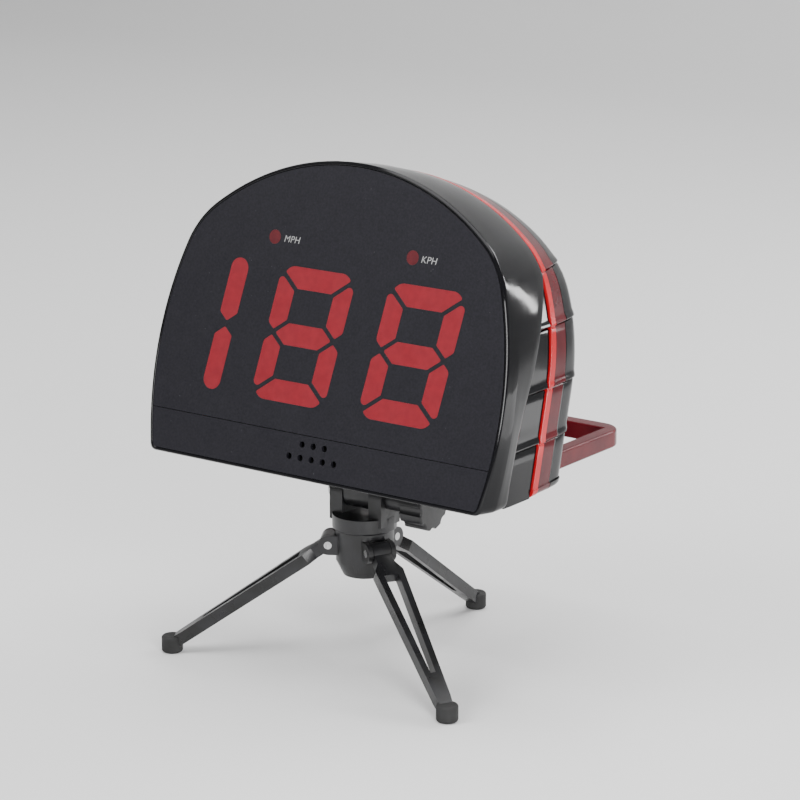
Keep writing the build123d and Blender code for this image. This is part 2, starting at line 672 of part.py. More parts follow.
# ---------------------------------------------------------------- speaker behind the lower fascia
SPEAKER_T = 9.4
GASKET_BACK = LEDGE_BACK + 0.8
SPEAKER_BACK = 13.0


def speaker_slot(length, height, front, back):
    """Oval block behind the speaker's sound holes."""
    with BuildPart() as slot:
        with BuildSketch(head_plane(front)):
            with Locations((0, SPEAKER_T)):
                SlotOverall(length, height)
        extrude(amount=front - back)
    return slot.part


with BuildPart() as speaker_gasket:
    add(speaker_slot(42, 15.4, PANEL_BACK, GASKET_BACK))
    add(speaker_slot(36, 11.4, PANEL_BACK, GASKET_BACK), mode=Mode.SUBTRACT)
    add(panel_prism(PANEL_BACK - 1, LEDGE_BACK + 3, LEDGE_GROW, 5.2), mode=Mode.INTERSECT)
finish(speaker_gasket, "speaker_gasket")

with BuildPart() as speaker_frame:
    add(speaker_slot(42, 14.6, GASKET_BACK, SPEAKER_BACK))
    add(speaker_slot(37, 10.6, GASKET_BACK, SPEAKER_BACK - 3), mode=Mode.SUBTRACT)
finish(speaker_frame, "speaker_frame")

with BuildPart() as speaker_cone:
    add(speaker_slot(36.6, 10.2, GASKET_BACK + 1.0, GASKET_BACK + 1.6))
    add(speaker_slot(12, 6, GASKET_BACK + 1.6, SPEAKER_BACK - 3))
finish(speaker_cone, "speaker_cone")

# ---------------------------------------------------------------- battery bay
BAY_WALL = 1.5
with BuildPart() as battery_box:
    outer = (BAY_WIDTH + 2 * BAY_WALL, BAY_HEIGHT + 2 * BAY_WALL)
    add(head_block(*outer, (0, BAY_MID_T), BAY_FRONT - BAY_WALL, REAR_FACE - WALL))
    bay = head_block(BAY_WIDTH, BAY_HEIGHT, (0, BAY_MID_T), BAY_FRONT, REAR_FACE - WALL + 1)
    add(bay, mode=Mode.SUBTRACT)
finish(battery_box, "battery_box")

CELL_PITCH = BAY_WIDTH / 4
CELL_DEPTH = BAY_FRONT + CELL_RADIUS + 0.3
with BuildPart() as battery_cells:
    for index in range(4):
        cell_s = (index - 1.5) * CELL_PITCH
        facing = 1 if index % 2 == 0 else -1
        foot = head_point(cell_s, BAY_MID_T - facing * (CELL_LENGTH / 2), CELL_DEPTH)
        along = (head_point(0, 1, 0) - head_point(0, 0, 0)) * facing
        with BuildSketch(Plane(origin=foot, x_dir=(1, 0, 0), z_dir=along)):
            Circle(CELL_RADIUS)
        extrude(amount=CELL_LENGTH - 1.2)
        with BuildSketch(Plane(origin=foot + along * (CELL_LENGTH - 1.2), x_dir=(1, 0, 0), z_dir=along)):
            Circle(2.7)
        extrude(amount=1.2)
finish(battery_cells, "battery_cells")

CONTACT_THICK = 0.4
with BuildPart() as battery_contacts:
    for index in range(4):
        cell_s = (index - 1.5) * CELL_PITCH
        for end in (-1, 1):
            plate_t = BAY_MID_T + end * (BAY_HEIGHT / 2 - CONTACT_THICK / 2)
            add(head_block(11, CONTACT_THICK, (cell_s, plate_t), BAY_FRONT + 1, BAY_FRONT + 14))
finish(battery_contacts, "battery_contacts")

with BuildPart() as battery_door:
    door_front = REAR_FACE - DOOR_THICK
    add(head_block(DOOR_WIDTH, DOOR_HEIGHT, (0, DOOR_MID_T), door_front, REAR_FACE))
    add(head_block(20, 3.0, (0, DOOR_MID_T + DOOR_HEIGHT / 2 - 4), REAR_FACE, REAR_FACE + 1.2))
    for rib in range(5):
        rib_t = DOOR_MID_T + 8 - rib * 5
        add(head_block(34, 1.4, (0, rib_t), REAR_FACE, REAR_FACE + 0.6))
    barrel_width = 2 * (HINGE_LUGS[1] - 2.0 - PLAY)
    web_low = DOOR_HINGE_T
    web_high = DOOR_MID_T - DOOR_HEIGHT / 2 + 3
    web_size = (barrel_width, web_high - web_low)
    add(head_block(*web_size, (0, (web_low + web_high) / 2), REAR_FACE + 0.3, DOOR_HINGE_DEPTH))
    add(head_block(barrel_width, 3.0, (0, web_high - 1.5), REAR_FACE - 0.5, REAR_FACE + 0.5))
    add(cross_bar(2.1, -barrel_width / 2, barrel_width / 2, DOOR_PIVOT))
    add(cross_bar(DOOR_PIN + SHAFT_GAP, -barrel_width, barrel_width, DOOR_PIVOT), mode=Mode.SUBTRACT)
finish(battery_door, "battery_door")

with BuildPart() as door_pin:
    add(cross_bar(DOOR_PIN, HINGE_LUGS[0] - 2, HINGE_LUGS[1] + 2, DOOR_PIVOT))
finish(door_pin, "door_pin")

# ---------------------------------------------------------------- buttons and their switches
BUTTON_STEM_FRONT = 64.0
FLANGE_FRONT = INNER_BACK - 1.5     # flange that keeps a button in, and the room it moves in
FLANGE_THICK = 1.2
FLANGE_GROW = 1.5
SWITCH_TOP = 62.6
for button_name, button_s in BUTTONS.items():
    with BuildPart() as button:
        add(button_post(button_name, 0, FLANGE_FRONT, REAR_FACE + BUTTON_PROUD))
        fillet(button.faces().sort_by(Axis(PANEL_ORIGIN, PANEL_NORMAL))[0].edges(), radius=0.8)
        add(button_post(button_name, FLANGE_GROW, FLANGE_FRONT, FLANGE_FRONT + FLANGE_THICK))
        add(head_posts(1.8, [(button_s, BUTTON_T)], BUTTON_STEM_FRONT, FLANGE_FRONT + 0.5))
    finish(button, button_name)

with BuildPart() as switch_board:
    add(head_block(90, 26, (0, BUTTON_T), SWITCH_BOARD_BACK - BOARD_THICK, SWITCH_BOARD_BACK))
finish(switch_board, "switch_board")

with BuildPart() as push_switches:
    for button_s in BUTTONS.values():
        add(head_block(6, 6, (button_s, BUTTON_T), SWITCH_BOARD_BACK, SWITCH_BOARD_BACK + 1.8))
        add(head_posts(1.6, [(button_s, BUTTON_T)], SWITCH_BOARD_BACK + 1.8, SWITCH_TOP))
finish(push_switches, "push_switches")

with BuildPart() as housing_screws:
    add(head_posts(SCREW_SHANK_RADIUS, SCREWS, SCREW_START, REAR_FACE - SCREW_RECESS))
    add(head_posts(SCREW_HEAD_RADIUS, SCREWS, REAR_FACE - SCREW_RECESS, REAR_FACE - 0.1))
    for screw_s, screw_t in SCREWS:
        for width, height in ((3.6, 0.8), (0.8, 3.6)):
            add(head_block(width, height, (screw_s, screw_t), REAR_FACE - 0.9, REAR_FACE), mode=Mode.SUBTRACT)
finish(housing_screws, "housing_screws")

# ---------------------------------------------------------------- bail stand
with BuildPart() as bail_stand:
    arm_start = BAIL_PIVOT.Y
    arm_end = BAIL_PIVOT.Y + BAIL_LENGTH + BAIL_BAR / 2
    outer_half = BAIL_ARM_S + BAIL_ARM_WIDTH / 2
    inner_half = BAIL_ARM_S - BAIL_ARM_WIDTH / 2
    with BuildSketch(Plane.XY.offset(BAIL_PIVOT.Z - BAIL_BAR / 2)) as bail_plan:
        with Locations((0, (arm_start + arm_end) / 2)):
            Rectangle(2 * outer_half, arm_end - arm_start)
        with Locations((0, (arm_start + arm_end) / 2 - BAIL_BAR)):
            Rectangle(2 * inner_half, arm_end - arm_start, mode=Mode.SUBTRACT)
        rear_corners = bail_plan.vertices().group_by(Axis.Y)[-1]
        fillet(rear_corners, radius=12.0)
    extrude(amount=BAIL_BAR)
    for side in (-1, 1):
        start = side * BAIL_ARM_S - BAIL_ARM_WIDTH / 2
        add(cross_bar(BAIL_BAR / 2, start, start + BAIL_ARM_WIDTH, BAIL_PIVOT))
    fillet(bail_stand.faces().filter_by(Axis.Z).edges().filter_by(GeomType.CIRCLE), radius=1.2)
    bore = cross_bar(BAIL_PIN + SHAFT_GAP, -outer_half - 1, outer_half + 1, BAIL_PIVOT)
    add(bore, mode=Mode.SUBTRACT)
finish(bail_stand, "bail_stand")

with BuildPart() as bail_pins:
    for side in (-1, 1):
        inner_end = side * (BAIL_LUG_S - BAIL_LUG_WIDTH / 2)
        outer_end = side * (BAIL_ARM_S + BAIL_ARM_WIDTH / 2)
        low_end = min(inner_end, outer_end)
        add(cross_bar(BAIL_PIN, low_end, low_end + abs(outer_end - inner_end), BAIL_PIVOT))
finish(bail_pins, "bail_pins")

# ---------------------------------------------------------------- tripod platform and its screw
WHEEL_BOTTOM = 99.2
WHEEL_THICK = 2.6
LUG_HALF = 8.0
EAR_WIDTH = 8.0
CLAMP_RADIUS = 3.0

with BuildPart() as tripod_platform:
    with BuildSketch(Plane.XY.offset(PLATFORM_BOTTOM)):
        with Locations((0, AXIS_Y)):
            RectangleRounded(PLATFORM_WIDTH, PLATFORM_DEPTH, 6)
    extrude(amount=PAD_BOTTOM - PLATFORM_BOTTOM)
    with BuildSketch(Plane.YZ.offset(-LUG_HALF)):
        with Locations((AXIS_Y, (TILT_Z + PLATFORM_BOTTOM) / 2)):
            Rectangle(2 * YOKE_TOP_RADIUS - 1, PLATFORM_BOTTOM - TILT_Z)
        with Locations((AXIS_Y, TILT_Z)):
            Circle(YOKE_TOP_RADIUS - 0.5)
    extrude(amount=2 * LUG_HALF)
    with BuildSketch(Plane.XY.offset(WHEEL_BOTTOM - PLAY)):
        with Locations((0, AXIS_Y)):
            Circle(WHEEL_RADIUS + 0.5)
    extrude(amount=WHEEL_THICK + 2 * PLAY, mode=Mode.SUBTRACT)
    with BuildSketch(Plane.XY.offset(WHEEL_BOTTOM)):
        with Locations((0, AXIS_Y)):
            Circle(SCREW_RADIUS + SHAFT_GAP)
    extrude(amount=10, mode=Mode.SUBTRACT)
    add(cross_bar(CLAMP_RADIUS + SHAFT_GAP, -20, 20, TILT_AXIS), mode=Mode.SUBTRACT)
finish(tripod_platform, "tripod_platform")

with BuildPart() as platform_pad:
    with BuildSketch(Plane.XY.offset(PAD_BOTTOM)):
        with Locations((0, AXIS_Y)):
            RectangleRounded(PLATFORM_WIDTH - 2, PLATFORM_DEPTH - 2, 5)
            Circle(SCREW_RADIUS + 0.6, mode=Mode.SUBTRACT)
    extrude(amount=BASE_Z - PAD_BOTTOM)
finish(platform_pad, "platform_pad")

with BuildPart() as camera_screw:
    with BuildSketch(Plane.XY.offset(WHEEL_BOTTOM)):
        with Locations((0, AXIS_Y)):
            Circle(SCREW_RADIUS)
    extrude(amount=BASE_Z + 7.0 - WHEEL_BOTTOM)
    chamfer(camera_screw.faces().sort_by(Axis.Z)[-1].edges(), length=0.6)
finish(camera_screw, "camera_screw")

KNURLS = 60
with BuildPart() as thumb_wheel:
    with BuildSketch(Plane.XY.offset(WHEEL_BOTTOM)):
        with Locations((0, AXIS_Y)):
            Circle(WHEEL_RADIUS)
            Circle(SCREW_RADIUS, mode=Mode.SUBTRACT)
            with PolarLocations(WHEEL_RADIUS + 0.2, KNURLS):
                Rectangle(1.0, 0.9, mode=Mode.SUBTRACT)
    extrude(amount=WHEEL_THICK)
finish(thumb_wheel, "thumb_wheel")

# ---------------------------------------------------------------- tilt yoke and clamp
EAR_INNER = LUG_HALF + 0.2
EAR_OUTER = EAR_INNER + EAR_WIDTH
with BuildPart() as tilt_yoke:
    with BuildSketch(Plane.XY.offset(HUB_TOP + PLAY)):
        with Locations((0, AXIS_Y)):
            Circle(16.5)
    extrude(amount=YOKE_FOOT_Z + 4 - HUB_TOP - PLAY)
    fillet(tilt_yoke.faces().sort_by(Axis.Z)[0].edges(), radius=1.0)
    for side in (-1, 1):
        start = min(side * EAR_INNER, side * EAR_OUTER)
        with BuildSketch(Plane.YZ.offset(start)):
            with Locations((AXIS_Y, TILT_Z)):
                Circle(YOKE_TOP_RADIUS)
            with Locations((AXIS_Y, (TILT_Z + YOKE_FOOT_Z) / 2)):
                Rectangle(2 * YOKE_TOP_RADIUS, TILT_Z - YOKE_FOOT_Z)
        extrude(amount=EAR_WIDTH)
    add(cross_bar(CLAMP_RADIUS + SHAFT_GAP, -40, 40, TILT_AXIS), mode=Mode.SUBTRACT)
    with BuildSketch(Plane.XY.offset(HUB_TOP + PLAY)):
        with Locations((0, AXIS_Y)):
            Circle(6.0)
    extrude(amount=-14)
finish(tilt_yoke, "tilt_yoke")

KNOB_START = 30.0
KNOB_THICK = 13.0
KNOB_RADIUS = 12.0
with BuildPart() as clamp_screw:
    add(cross_bar(CLAMP_RADIUS, -EAR_OUTER - 0.4, KNOB_START + 8, TILT_AXIS))
    add(cross_bar(5.0, -EAR_OUTER - 3.6, -EAR_OUTER - 0.4, TILT_AXIS))
    chamfer(clamp_screw.faces().sort_by(Axis.X)[0].edges(), length=0.6)
finish(clamp_screw, "clamp_screw")

with BuildPart() as clamp_knob:
    with BuildSketch(Plane(origin=(EAR_OUTER + 0.4, AXIS_Y, TILT_Z), x_dir=(0, 1, 0), z_dir=(1, 0, 0))):
        Circle(5.5)
    extrude(amount=KNOB_START - EAR_OUTER - 0.4)
    with BuildSketch(Plane(origin=(KNOB_START, AXIS_Y, TILT_Z), x_dir=(0, 1, 0), z_dir=(1, 0, 0))):
        Circle(KNOB_RADIUS)
        with PolarLocations(KNOB_RADIUS + 2.2, 8):
            Circle(3.4, mode=Mode.SUBTRACT)
    extrude(amount=KNOB_THICK)
    fillet(clamp_knob.faces().sort_by(Axis.X)[-1].edges(), radius=1.2)
    add(cross_bar(CLAMP_RADIUS, 0, KNOB_START + 8, TILT_AXIS), mode=Mode.SUBTRACT)
finish(clamp_knob, "clamp_knob")

# ---------------------------------------------------------------- hub and legs
CLEVIS_GAP = LEG_WIDTH - 5.0
LEG_PIN_RADIUS = 2.0
TONGUE_WIDTH = CLEVIS_GAP - 2 * PLAY


def leg_plane(angle):
    """Upright plane through the tripod axis along a leg: x runs outwards and y up."""
    outwards = Vector(cos(radians(angle)), sin(radians(angle)), 0)
    return Plane(origin=(0, AXIS_Y, 0), x_dir=outwards, z_dir=outwards.cross(Vector(0, 0, 1)))


def leg_pin_bar(angle, radius, width):
    """Round bar across a leg at its pivot."""
    with BuildPart() as bar:
        with BuildSketch(leg_plane(angle)):
            with Locations((LEG_PIVOT_RADIUS, LEG_PIVOT_Z)):
                Circle(radius)
        extrude(amount=width / 2, both=True)
    return bar.part


with BuildPart() as tripod_hub:
    with BuildSketch(Plane.XY.offset(HUB_BOTTOM)):
        with Locations((0, AXIS_Y)):
            Circle(HUB_RADIUS - 4)
    with BuildSketch(Plane.XY.offset(HUB_BOTTOM + 8)):
        with Locations((0, AXIS_Y)):
            Circle(HUB_RADIUS)
    loft()
    with BuildSketch(Plane.XY.offset(HUB_BOTTOM + 8)):
        with Locations((0, AXIS_Y)):
            Circle(HUB_RADIUS)
    extrude(amount=HUB_TOP - HUB_BOTTOM - 8)
    for angle in LEG_ANGLES.values():
        with BuildSketch(leg_plane(angle)):
            with Locations((LEG_PIVOT_RADIUS, LEG_PIVOT_Z)):
                Circle(5.0)
            with Locations((LEG_PIVOT_RADIUS / 2, LEG_PIVOT_Z)):
                Rectangle(LEG_PIVOT_RADIUS, 10.0)
        extrude(amount=LEG_WIDTH / 2, both=True)
    for angle in LEG_ANGLES.values():
        with BuildSketch(leg_plane(angle)):
            with Locations((LEG_PIVOT_RADIUS, LEG_PIVOT_Z)):
                Circle(6.2)
            with Locations((LEG_PIVOT_RADIUS + 10, LEG_PIVOT_Z - 10)):
                Rectangle(32.4, 20)
        extrude(amount=CLEVIS_GAP / 2, both=True, mode=Mode.SUBTRACT)
        add(leg_pin_bar(angle, LEG_PIN_RADIUS, 40), mode=Mode.SUBTRACT)
    with BuildSketch(Plane.XY.offset(HUB_TOP)):
        with Locations((0, AXIS_Y)):
            Circle(6.0 + SHAFT_GAP)
    extrude(amount=-15, mode=Mode.SUBTRACT)
finish(tripod_hub, "tripod_hub")

with BuildPart() as leg_pins:
    for angle in LEG_ANGLES.values():
        add(leg_pin_bar(angle, LEG_PIN_RADIUS, LEG_WIDTH))
finish(leg_pins, "leg_pins")

LEG_RUN = LEG_REACH - LEG_PIVOT_RADIUS
LEG_DROP = LEG_PIVOT_Z - FOOT_HEIGHT / 2
LEG_SLOPE = degrees(atan2(LEG_DROP, LEG_RUN))
LEG_LENGTH = hypot(LEG_RUN, LEG_DROP)


def leg_face_plane(angle):
    """Plane along a leg's length: x runs down the leg from its pivot and y across it."""
    outwards = Vector(cos(radians(angle)), sin(radians(angle)), 0)
    down_leg = outwards * cos(radians(LEG_SLOPE)) - Vector(0, 0, 1) * sin(radians(LEG_SLOPE))
    across = outwards.cross(Vector(0, 0, 1))
    pivot = Vector(0, AXIS_Y, LEG_PIVOT_Z) + outwards * LEG_PIVOT_RADIUS
    return Plane(origin=pivot, x_dir=down_leg, z_dir=down_leg.cross(across))


def foot_shape(angle):
    """Round rubber foot with a vertical axis."""
    outwards = Vector(cos(radians(angle)), sin(radians(angle)), 0)
    with BuildPart() as foot:
        with BuildSketch(Plane(origin=Vector(0, AXIS_Y, 0) + outwards * LEG_REACH)):
            Circle(FOOT_RADIUS)
        extrude(amount=FOOT_HEIGHT)
        fillet(foot.edges().filter_by(GeomType.CIRCLE), radius=1.5)
    return foot.part


for leg_name, angle in LEG_ANGLES.items():
    with BuildPart() as leg:
        with BuildSketch(leg_face_plane(angle)):
            with BuildLine():
                Polyline(
                    (0, -TONGUE_WIDTH / 2),
                    (9, -TONGUE_WIDTH / 2),
                    (14, -LEG_WIDTH / 2),
                    (LEG_LENGTH - 8, -LEG_TIP_WIDTH / 2),
                    (LEG_LENGTH, -LEG_TIP_WIDTH / 2 + 1),
                    (LEG_LENGTH, LEG_TIP_WIDTH / 2 - 1),
                    (LEG_LENGTH - 8, LEG_TIP_WIDTH / 2),
                    (14, LEG_WIDTH / 2),
                    (9, TONGUE_WIDTH / 2),
                    (0, TONGUE_WIDTH / 2),
                    close=True,
                )
            make_face()
            with BuildLine():
                Polyline(
                    (17, -LEG_WIDTH / 2 + 3.6),
                    (LEG_LENGTH - 22, -1.4),
                    (LEG_LENGTH - 22, 1.4),
                    (17, LEG_WIDTH / 2 - 3.6),
                    close=True,
                )
            make_face(mode=Mode.SUBTRACT)
        extrude(amount=LEG_THICK / 2, both=True)
        with BuildSketch(leg_plane(angle)):
            with Locations((LEG_PIVOT_RADIUS, LEG_PIVOT_Z)):
                Circle(5.0)
        extrude(amount=TONGUE_WIDTH / 2, both=True)
        add(leg_pin_bar(angle, LEG_PIN_RADIUS + SHAFT_GAP, 40), mode=Mode.SUBTRACT)
        add(foot_shape(angle), mode=Mode.SUBTRACT)
    finish(leg, f"leg_{leg_name}")
    with BuildPart() as foot:
        add(foot_shape(angle))
    finish(foot, f"foot_{leg_name}")
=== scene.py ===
"""Looks of the hands-free sports speed radar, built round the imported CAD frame. Metres, +Z up.

The head's pieces are laid out in millimetres in the panel's own frame, (s, t, depth): s to the right,
t up along the panel, depth straight back from the panel's face. HEAD takes them to the scene's metres.
"""

import json
from math import acos, asin, atan2, cos, hypot, pi, radians, sin

import bmesh
import bpy
from mathutils import Matrix, Vector


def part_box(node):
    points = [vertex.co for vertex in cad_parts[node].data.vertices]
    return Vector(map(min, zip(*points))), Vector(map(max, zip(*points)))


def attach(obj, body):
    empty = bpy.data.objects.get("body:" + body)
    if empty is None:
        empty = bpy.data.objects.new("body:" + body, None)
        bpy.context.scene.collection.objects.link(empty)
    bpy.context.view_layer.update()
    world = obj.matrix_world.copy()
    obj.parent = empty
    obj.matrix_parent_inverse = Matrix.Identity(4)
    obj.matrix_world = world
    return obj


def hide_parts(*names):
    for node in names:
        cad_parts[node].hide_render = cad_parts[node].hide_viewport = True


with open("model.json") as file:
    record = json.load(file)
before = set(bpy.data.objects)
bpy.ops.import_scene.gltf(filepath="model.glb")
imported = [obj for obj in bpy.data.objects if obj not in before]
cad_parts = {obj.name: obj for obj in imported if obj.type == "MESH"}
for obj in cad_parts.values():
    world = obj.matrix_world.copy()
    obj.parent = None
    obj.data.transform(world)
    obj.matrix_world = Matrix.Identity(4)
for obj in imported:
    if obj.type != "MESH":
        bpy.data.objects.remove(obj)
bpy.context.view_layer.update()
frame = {"nodes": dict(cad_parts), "record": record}

MM = 0.001

# ---------------------------------------------------------------- the head's shape, in millimetres
LEAN = radians(14.65)
PANEL_FOOT = -5.0         # t of the base at the panel's face
CROWN_RADIUS = 130.0
FLANK_BACK = 20.0         # where the bezel's flank reaches the housing's outline
CREASE_DEPTH = 18.0       # bezel's rear edge low on the sides, and the arc it sweeps back along
CREASE_T = 10.0
CREASE_RADIUS = 260.0
MID_BACK = 39.4           # side shells' rear edge
BEAD_BACK = 44.0
RING_BACK = 55.5
REAR_FACE = 69.0
REAR_INNER = 66.6         # inside of the flat back
STEP_HEIGHTS = (26.0, 52.2, 80.8, 105.5)
BASE_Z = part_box("base_plate")[0].z / MM

# the panel's reference line, in front of the tripod's axis
PANEL_AHEAD = 46.0
AXIS_Y = (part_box("tripod_insert")[0].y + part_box("tripod_insert")[1].y) / 2 / MM
PANEL_Y = AXIS_Y - PANEL_AHEAD


def head_frame():
    """Matrix from the head's own millimetres (s right, t up the panel, w out of it) to metres."""
    right = Vector((1, 0, 0))
    up = Vector((0, sin(LEAN), cos(LEAN)))
    out = Vector((0, -cos(LEAN), sin(LEAN)))
    origin = Vector((0, PANEL_Y, BASE_Z - PANEL_FOOT * cos(LEAN)))
    matrix = Matrix((right, up, out)).transposed().to_4x4()
    matrix.translation = origin
    return Matrix.Scale(MM, 4) @ matrix


HEAD = head_frame()


# ---------------------------------------------------------------- materials
def new_material(name, base, roughness, **sockets):
    """A principled material whose even values sit on the shader's own sockets."""
    material = bpy.data.materials.new(name)
    material.use_nodes = True
    shader = material.node_tree.nodes["Principled BSDF"]
    shader.inputs["Base Color"].default_value = (*base, 1)
    shader.inputs["Roughness"].default_value = roughness
    for socket, value in sockets.items():
        shader.inputs[socket.replace("_", " ")].default_value = value
    return material


def node(material, kind, **values):
    """A node of a kind in the material's tree, with its inputs or settings filled in."""
    made = material.node_tree.nodes.new(kind)
    for name, value in values.items():
        socket = made.inputs.get(name)
        if socket is None:
            setattr(made, name, value)
        else:
            socket.default_value = value
    return made


def link(material, source, output, target, socket):
    """Wire an output of one node to a socket of another."""
    material.node_tree.links.new(source.outputs[output], target.inputs[socket])


def object_noise(material, scale, detail, stretch=(1, 1, 1)):
    """Noise in the object's own metres, stretched along an axis where asked."""
    coordinates = node(material, "ShaderNodeTexCoord")
    mapping = node(material, "ShaderNodeMapping")
    mapping.inputs["Scale"].default_value = stretch
    noise = node(material, "ShaderNodeTexNoise", Scale=scale, Detail=detail)
    link(material, coordinates, "Object", mapping, "Vector")
    link(material, mapping, "Vector", noise, "Vector")
    return noise


def ramp(material, source, output, stops):
    """Colour ramp driven by a node's output; stops are (position, colour)."""
    made = node(material, "ShaderNodeValToRGB")
    elements = made.color_ramp.elements
    while len(elements) < len(stops):
        elements.new(0.5)
    for element, (position, colour) in zip(elements, stops):
        element.position = position
        element.color = (*colour, 1)
    link(material, source, output, made, "Fac")
    return made


def grey(value):
    return (value, value, value)


def vary_roughness(material, low, high, scale, stretch=(1, 1, 1)):
    """Roughness that drifts between two values, as handling and moulding leave it."""
    noise = object_noise(material, scale, 4.0, stretch)
    made = ramp(material, noise, "Fac", [(0.35, grey(low)), (0.65, grey(high))])
    link(material, made, "Color", material.node_tree.nodes["Principled BSDF"], "Roughness")


def vary_colour(material, dark, light, scale, stretch=(1, 1, 1)):
    """Base colour that drifts between two colours."""
    noise = object_noise(material, scale, 5.0, stretch)
    made = ramp(material, noise, "Fac", [(0.35, dark), (0.65, light)])
    link(material, made, "Color", material.node_tree.nodes["Principled BSDF"], "Base Color")


def add_bump(material, scale, distance, strength, detail=3.0, stretch=(1, 1, 1)):
    """Fine relief on the surface; its distance is in metres."""
    noise = object_noise(material, scale, detail, stretch)
    bump = node(material, "ShaderNodeBump", Strength=strength, Distance=distance)
    link(material, noise, "Fac", bump, "Height")
    link(material, bump, "Normal", material.node_tree.nodes["Principled BSDF"], "Normal")


def gloss_black_material():
    """Polished black plastic with faint handling marks."""
    material = new_material("gloss_black", (0.004, 0.004, 0.005), 0.08, Specular_IOR_Level=0.22)
    vary_colour(material, (0.003, 0.003, 0.004), (0.006, 0.006, 0.007), 60)
    vary_roughness(material, 0.05, 0.13, 45)
    add_bump(material, 220, 0.00002, 0.2)
    return material


def panel_material():
    """Smoked panel with a fine matte print and sparse light specks."""
    material = new_material("panel_grey", (0.013, 0.013, 0.016), 0.42, Specular_IOR_Level=0.2)
    grain = object_noise(material, 900, 4.0)
    tone = ramp(material, grain, "Fac", [(0.3, (0.009, 0.009, 0.012)), (0.7, (0.016, 0.015, 0.020))])
    coordinates = node(material, "ShaderNodeTexCoord")
    specks = node(material, "ShaderNodeTexVoronoi", Scale=420.0)
    link(material, coordinates, "Object", specks, "Vector")
    dots = ramp(material, specks, "Distance", [(0.05, grey(1)), (0.11, grey(0))])
    scatter = object_noise(material, 150, 2.0)
    sparse = ramp(material, scatter, "Fac", [(0.56, grey(0)), (0.66, grey(0.7))])
    both = node(material, "ShaderNodeMath", operation="MULTIPLY")
    link(material, dots, "Color", both, 0)
    link(material, sparse, "Color", both, 1)
    speckled = node(material, "ShaderNodeMixRGB", Color2=(0.09, 0.09, 0.10, 1))
    link(material, both, 0, speckled, "Fac")
    link(material, tone, "Color", speckled, "Color1")
    link(material, speckled, 0, material.node_tree.nodes["Principled BSDF"], "Base Color")
    vary_roughness(material, 0.40, 0.45, 70)
    add_bump(material, 1500, 0.00003, 0.5)
    return material


def frosted_red_material(name, dark, light, low, high):
    """Frosted red light guide, unlit, a little uneven."""
    material = new_material(
        name, light, high, Specular_IOR_Level=0.3, Subsurface_Weight=0.15, Subsurface_Scale=0.003
    )
    vary_colour(material, dark, light, 260)
    vary_roughness(material, low, high, 120)
    add_bump(material, 1400, 0.00003, 0.4)
    return material


def red_gloss_material(name, dark, light, low, high):
    """Glossy red plastic; low and high are the ends of its roughness."""
    material = new_material(name, light, low, Specular_IOR_Level=0.25)
    vary_colour(material, dark, light, 70)
    vary_roughness(material, low, high, 60)
    add_bump(material, 260, 0.00002, 0.2)
    return material


def moulded_material(name, dark, light, low, high, grain=1300, relief=0.00005):
    """Satin moulded plastic with spark-eroded grain."""
    material = new_material(name, light, high, Specular_IOR_Level=0.45)
    vary_colour(material, dark, light, 90)
    vary_roughness(material, low, high, 80)
    add_bump(material, grain, relief, 0.6)
    return material


def metal_material(name, dark, light, low, high, stretch=(1, 1, 1)):
    """Bare metal, brushed where its noise is stretched."""
    material = new_material(name, light, low, Metallic=1.0)
    vary_colour(material, dark, light, 300, stretch)
    vary_roughness(material, low, high, 400, stretch)
    add_bump(material, 900, 0.00002, 0.5, 2.0, stretch)
    return material


MATERIALS = {
    "gloss_black": gloss_black_material(),
    "panel_grey": panel_material(),
    "segment_red": frosted_red_material(
        "segment_red", (0.205, 0.0085, 0.016), (0.235, 0.0105, 0.019), 0.40, 0.50
    ),
    "indicator_red": frosted_red_material(
        "indicator_red", (0.070, 0.005, 0.009), (0.095, 0.008, 0.012), 0.4, 0.5
    ),
    "ring_red": red_gloss_material("ring_red", (0.060, 0.002, 0.005), (0.095, 0.004, 0.008), 0.10, 0.18),
    "bead_red": red_gloss_material("bead_red", (0.42, 0.006, 0.011), (0.54, 0.011, 0.017), 0.12, 0.2),
    "bail_red": red_gloss_material("bail_red", (0.075, 0.004, 0.008), (0.11, 0.007, 0.011), 0.16, 0.26),
    "rubber_black": moulded_material("rubber_black", grey(0.012), grey(0.022), 0.65, 0.85, 1800, 0.0001),
    "tripod_black": moulded_material("tripod_black", grey(0.008), (0.016, 0.016, 0.018), 0.28, 0.42),
    "leg_black": moulded_material("leg_black", grey(0.007), (0.014, 0.014, 0.016), 0.24, 0.38),
    "button_grey": moulded_material("button_grey", grey(0.045), grey(0.065), 0.5, 0.65),
    "board_green": moulded_material("board_green", (0.008, 0.05, 0.022), (0.012, 0.09, 0.04), 0.25, 0.4),
    "chip_black": moulded_material("chip_black", grey(0.014), grey(0.024), 0.45, 0.6),
    "reflector_white": moulded_material("reflector_white", grey(0.6), grey(0.7), 0.4, 0.55),
    "led_white": moulded_material("led_white", (0.6, 0.55, 0.35), (0.75, 0.7, 0.5), 0.25, 0.35),
    "copper_gold": metal_material("copper_gold", (0.7, 0.42, 0.15), (0.85, 0.55, 0.22), 0.22, 0.35),
    "steel": metal_material("steel", grey(0.42), grey(0.58), 0.22, 0.36, (1, 8, 1)),
    "brass": metal_material("brass", (0.55, 0.38, 0.14), (0.72, 0.52, 0.22), 0.2, 0.34),
    "cell_wrap": moulded_material("cell_wrap", (0.04, 0.05, 0.07), (0.07, 0.08, 0.1), 0.25, 0.35),
    "foam": moulded_material("foam", grey(0.012), grey(0.02), 0.85, 0.95, 2500, 0.0002),
    "cone_paper": moulded_material("cone_paper", grey(0.016), grey(0.026), 0.75, 0.9, 2000, 0.0002),
    "print_grey": moulded_material("print_grey", grey(0.26), grey(0.34), 0.5, 0.6),
}
NODE_SLOTS = {part["node"]: part["material_slot"] for part in frame["record"]["subparts"]}
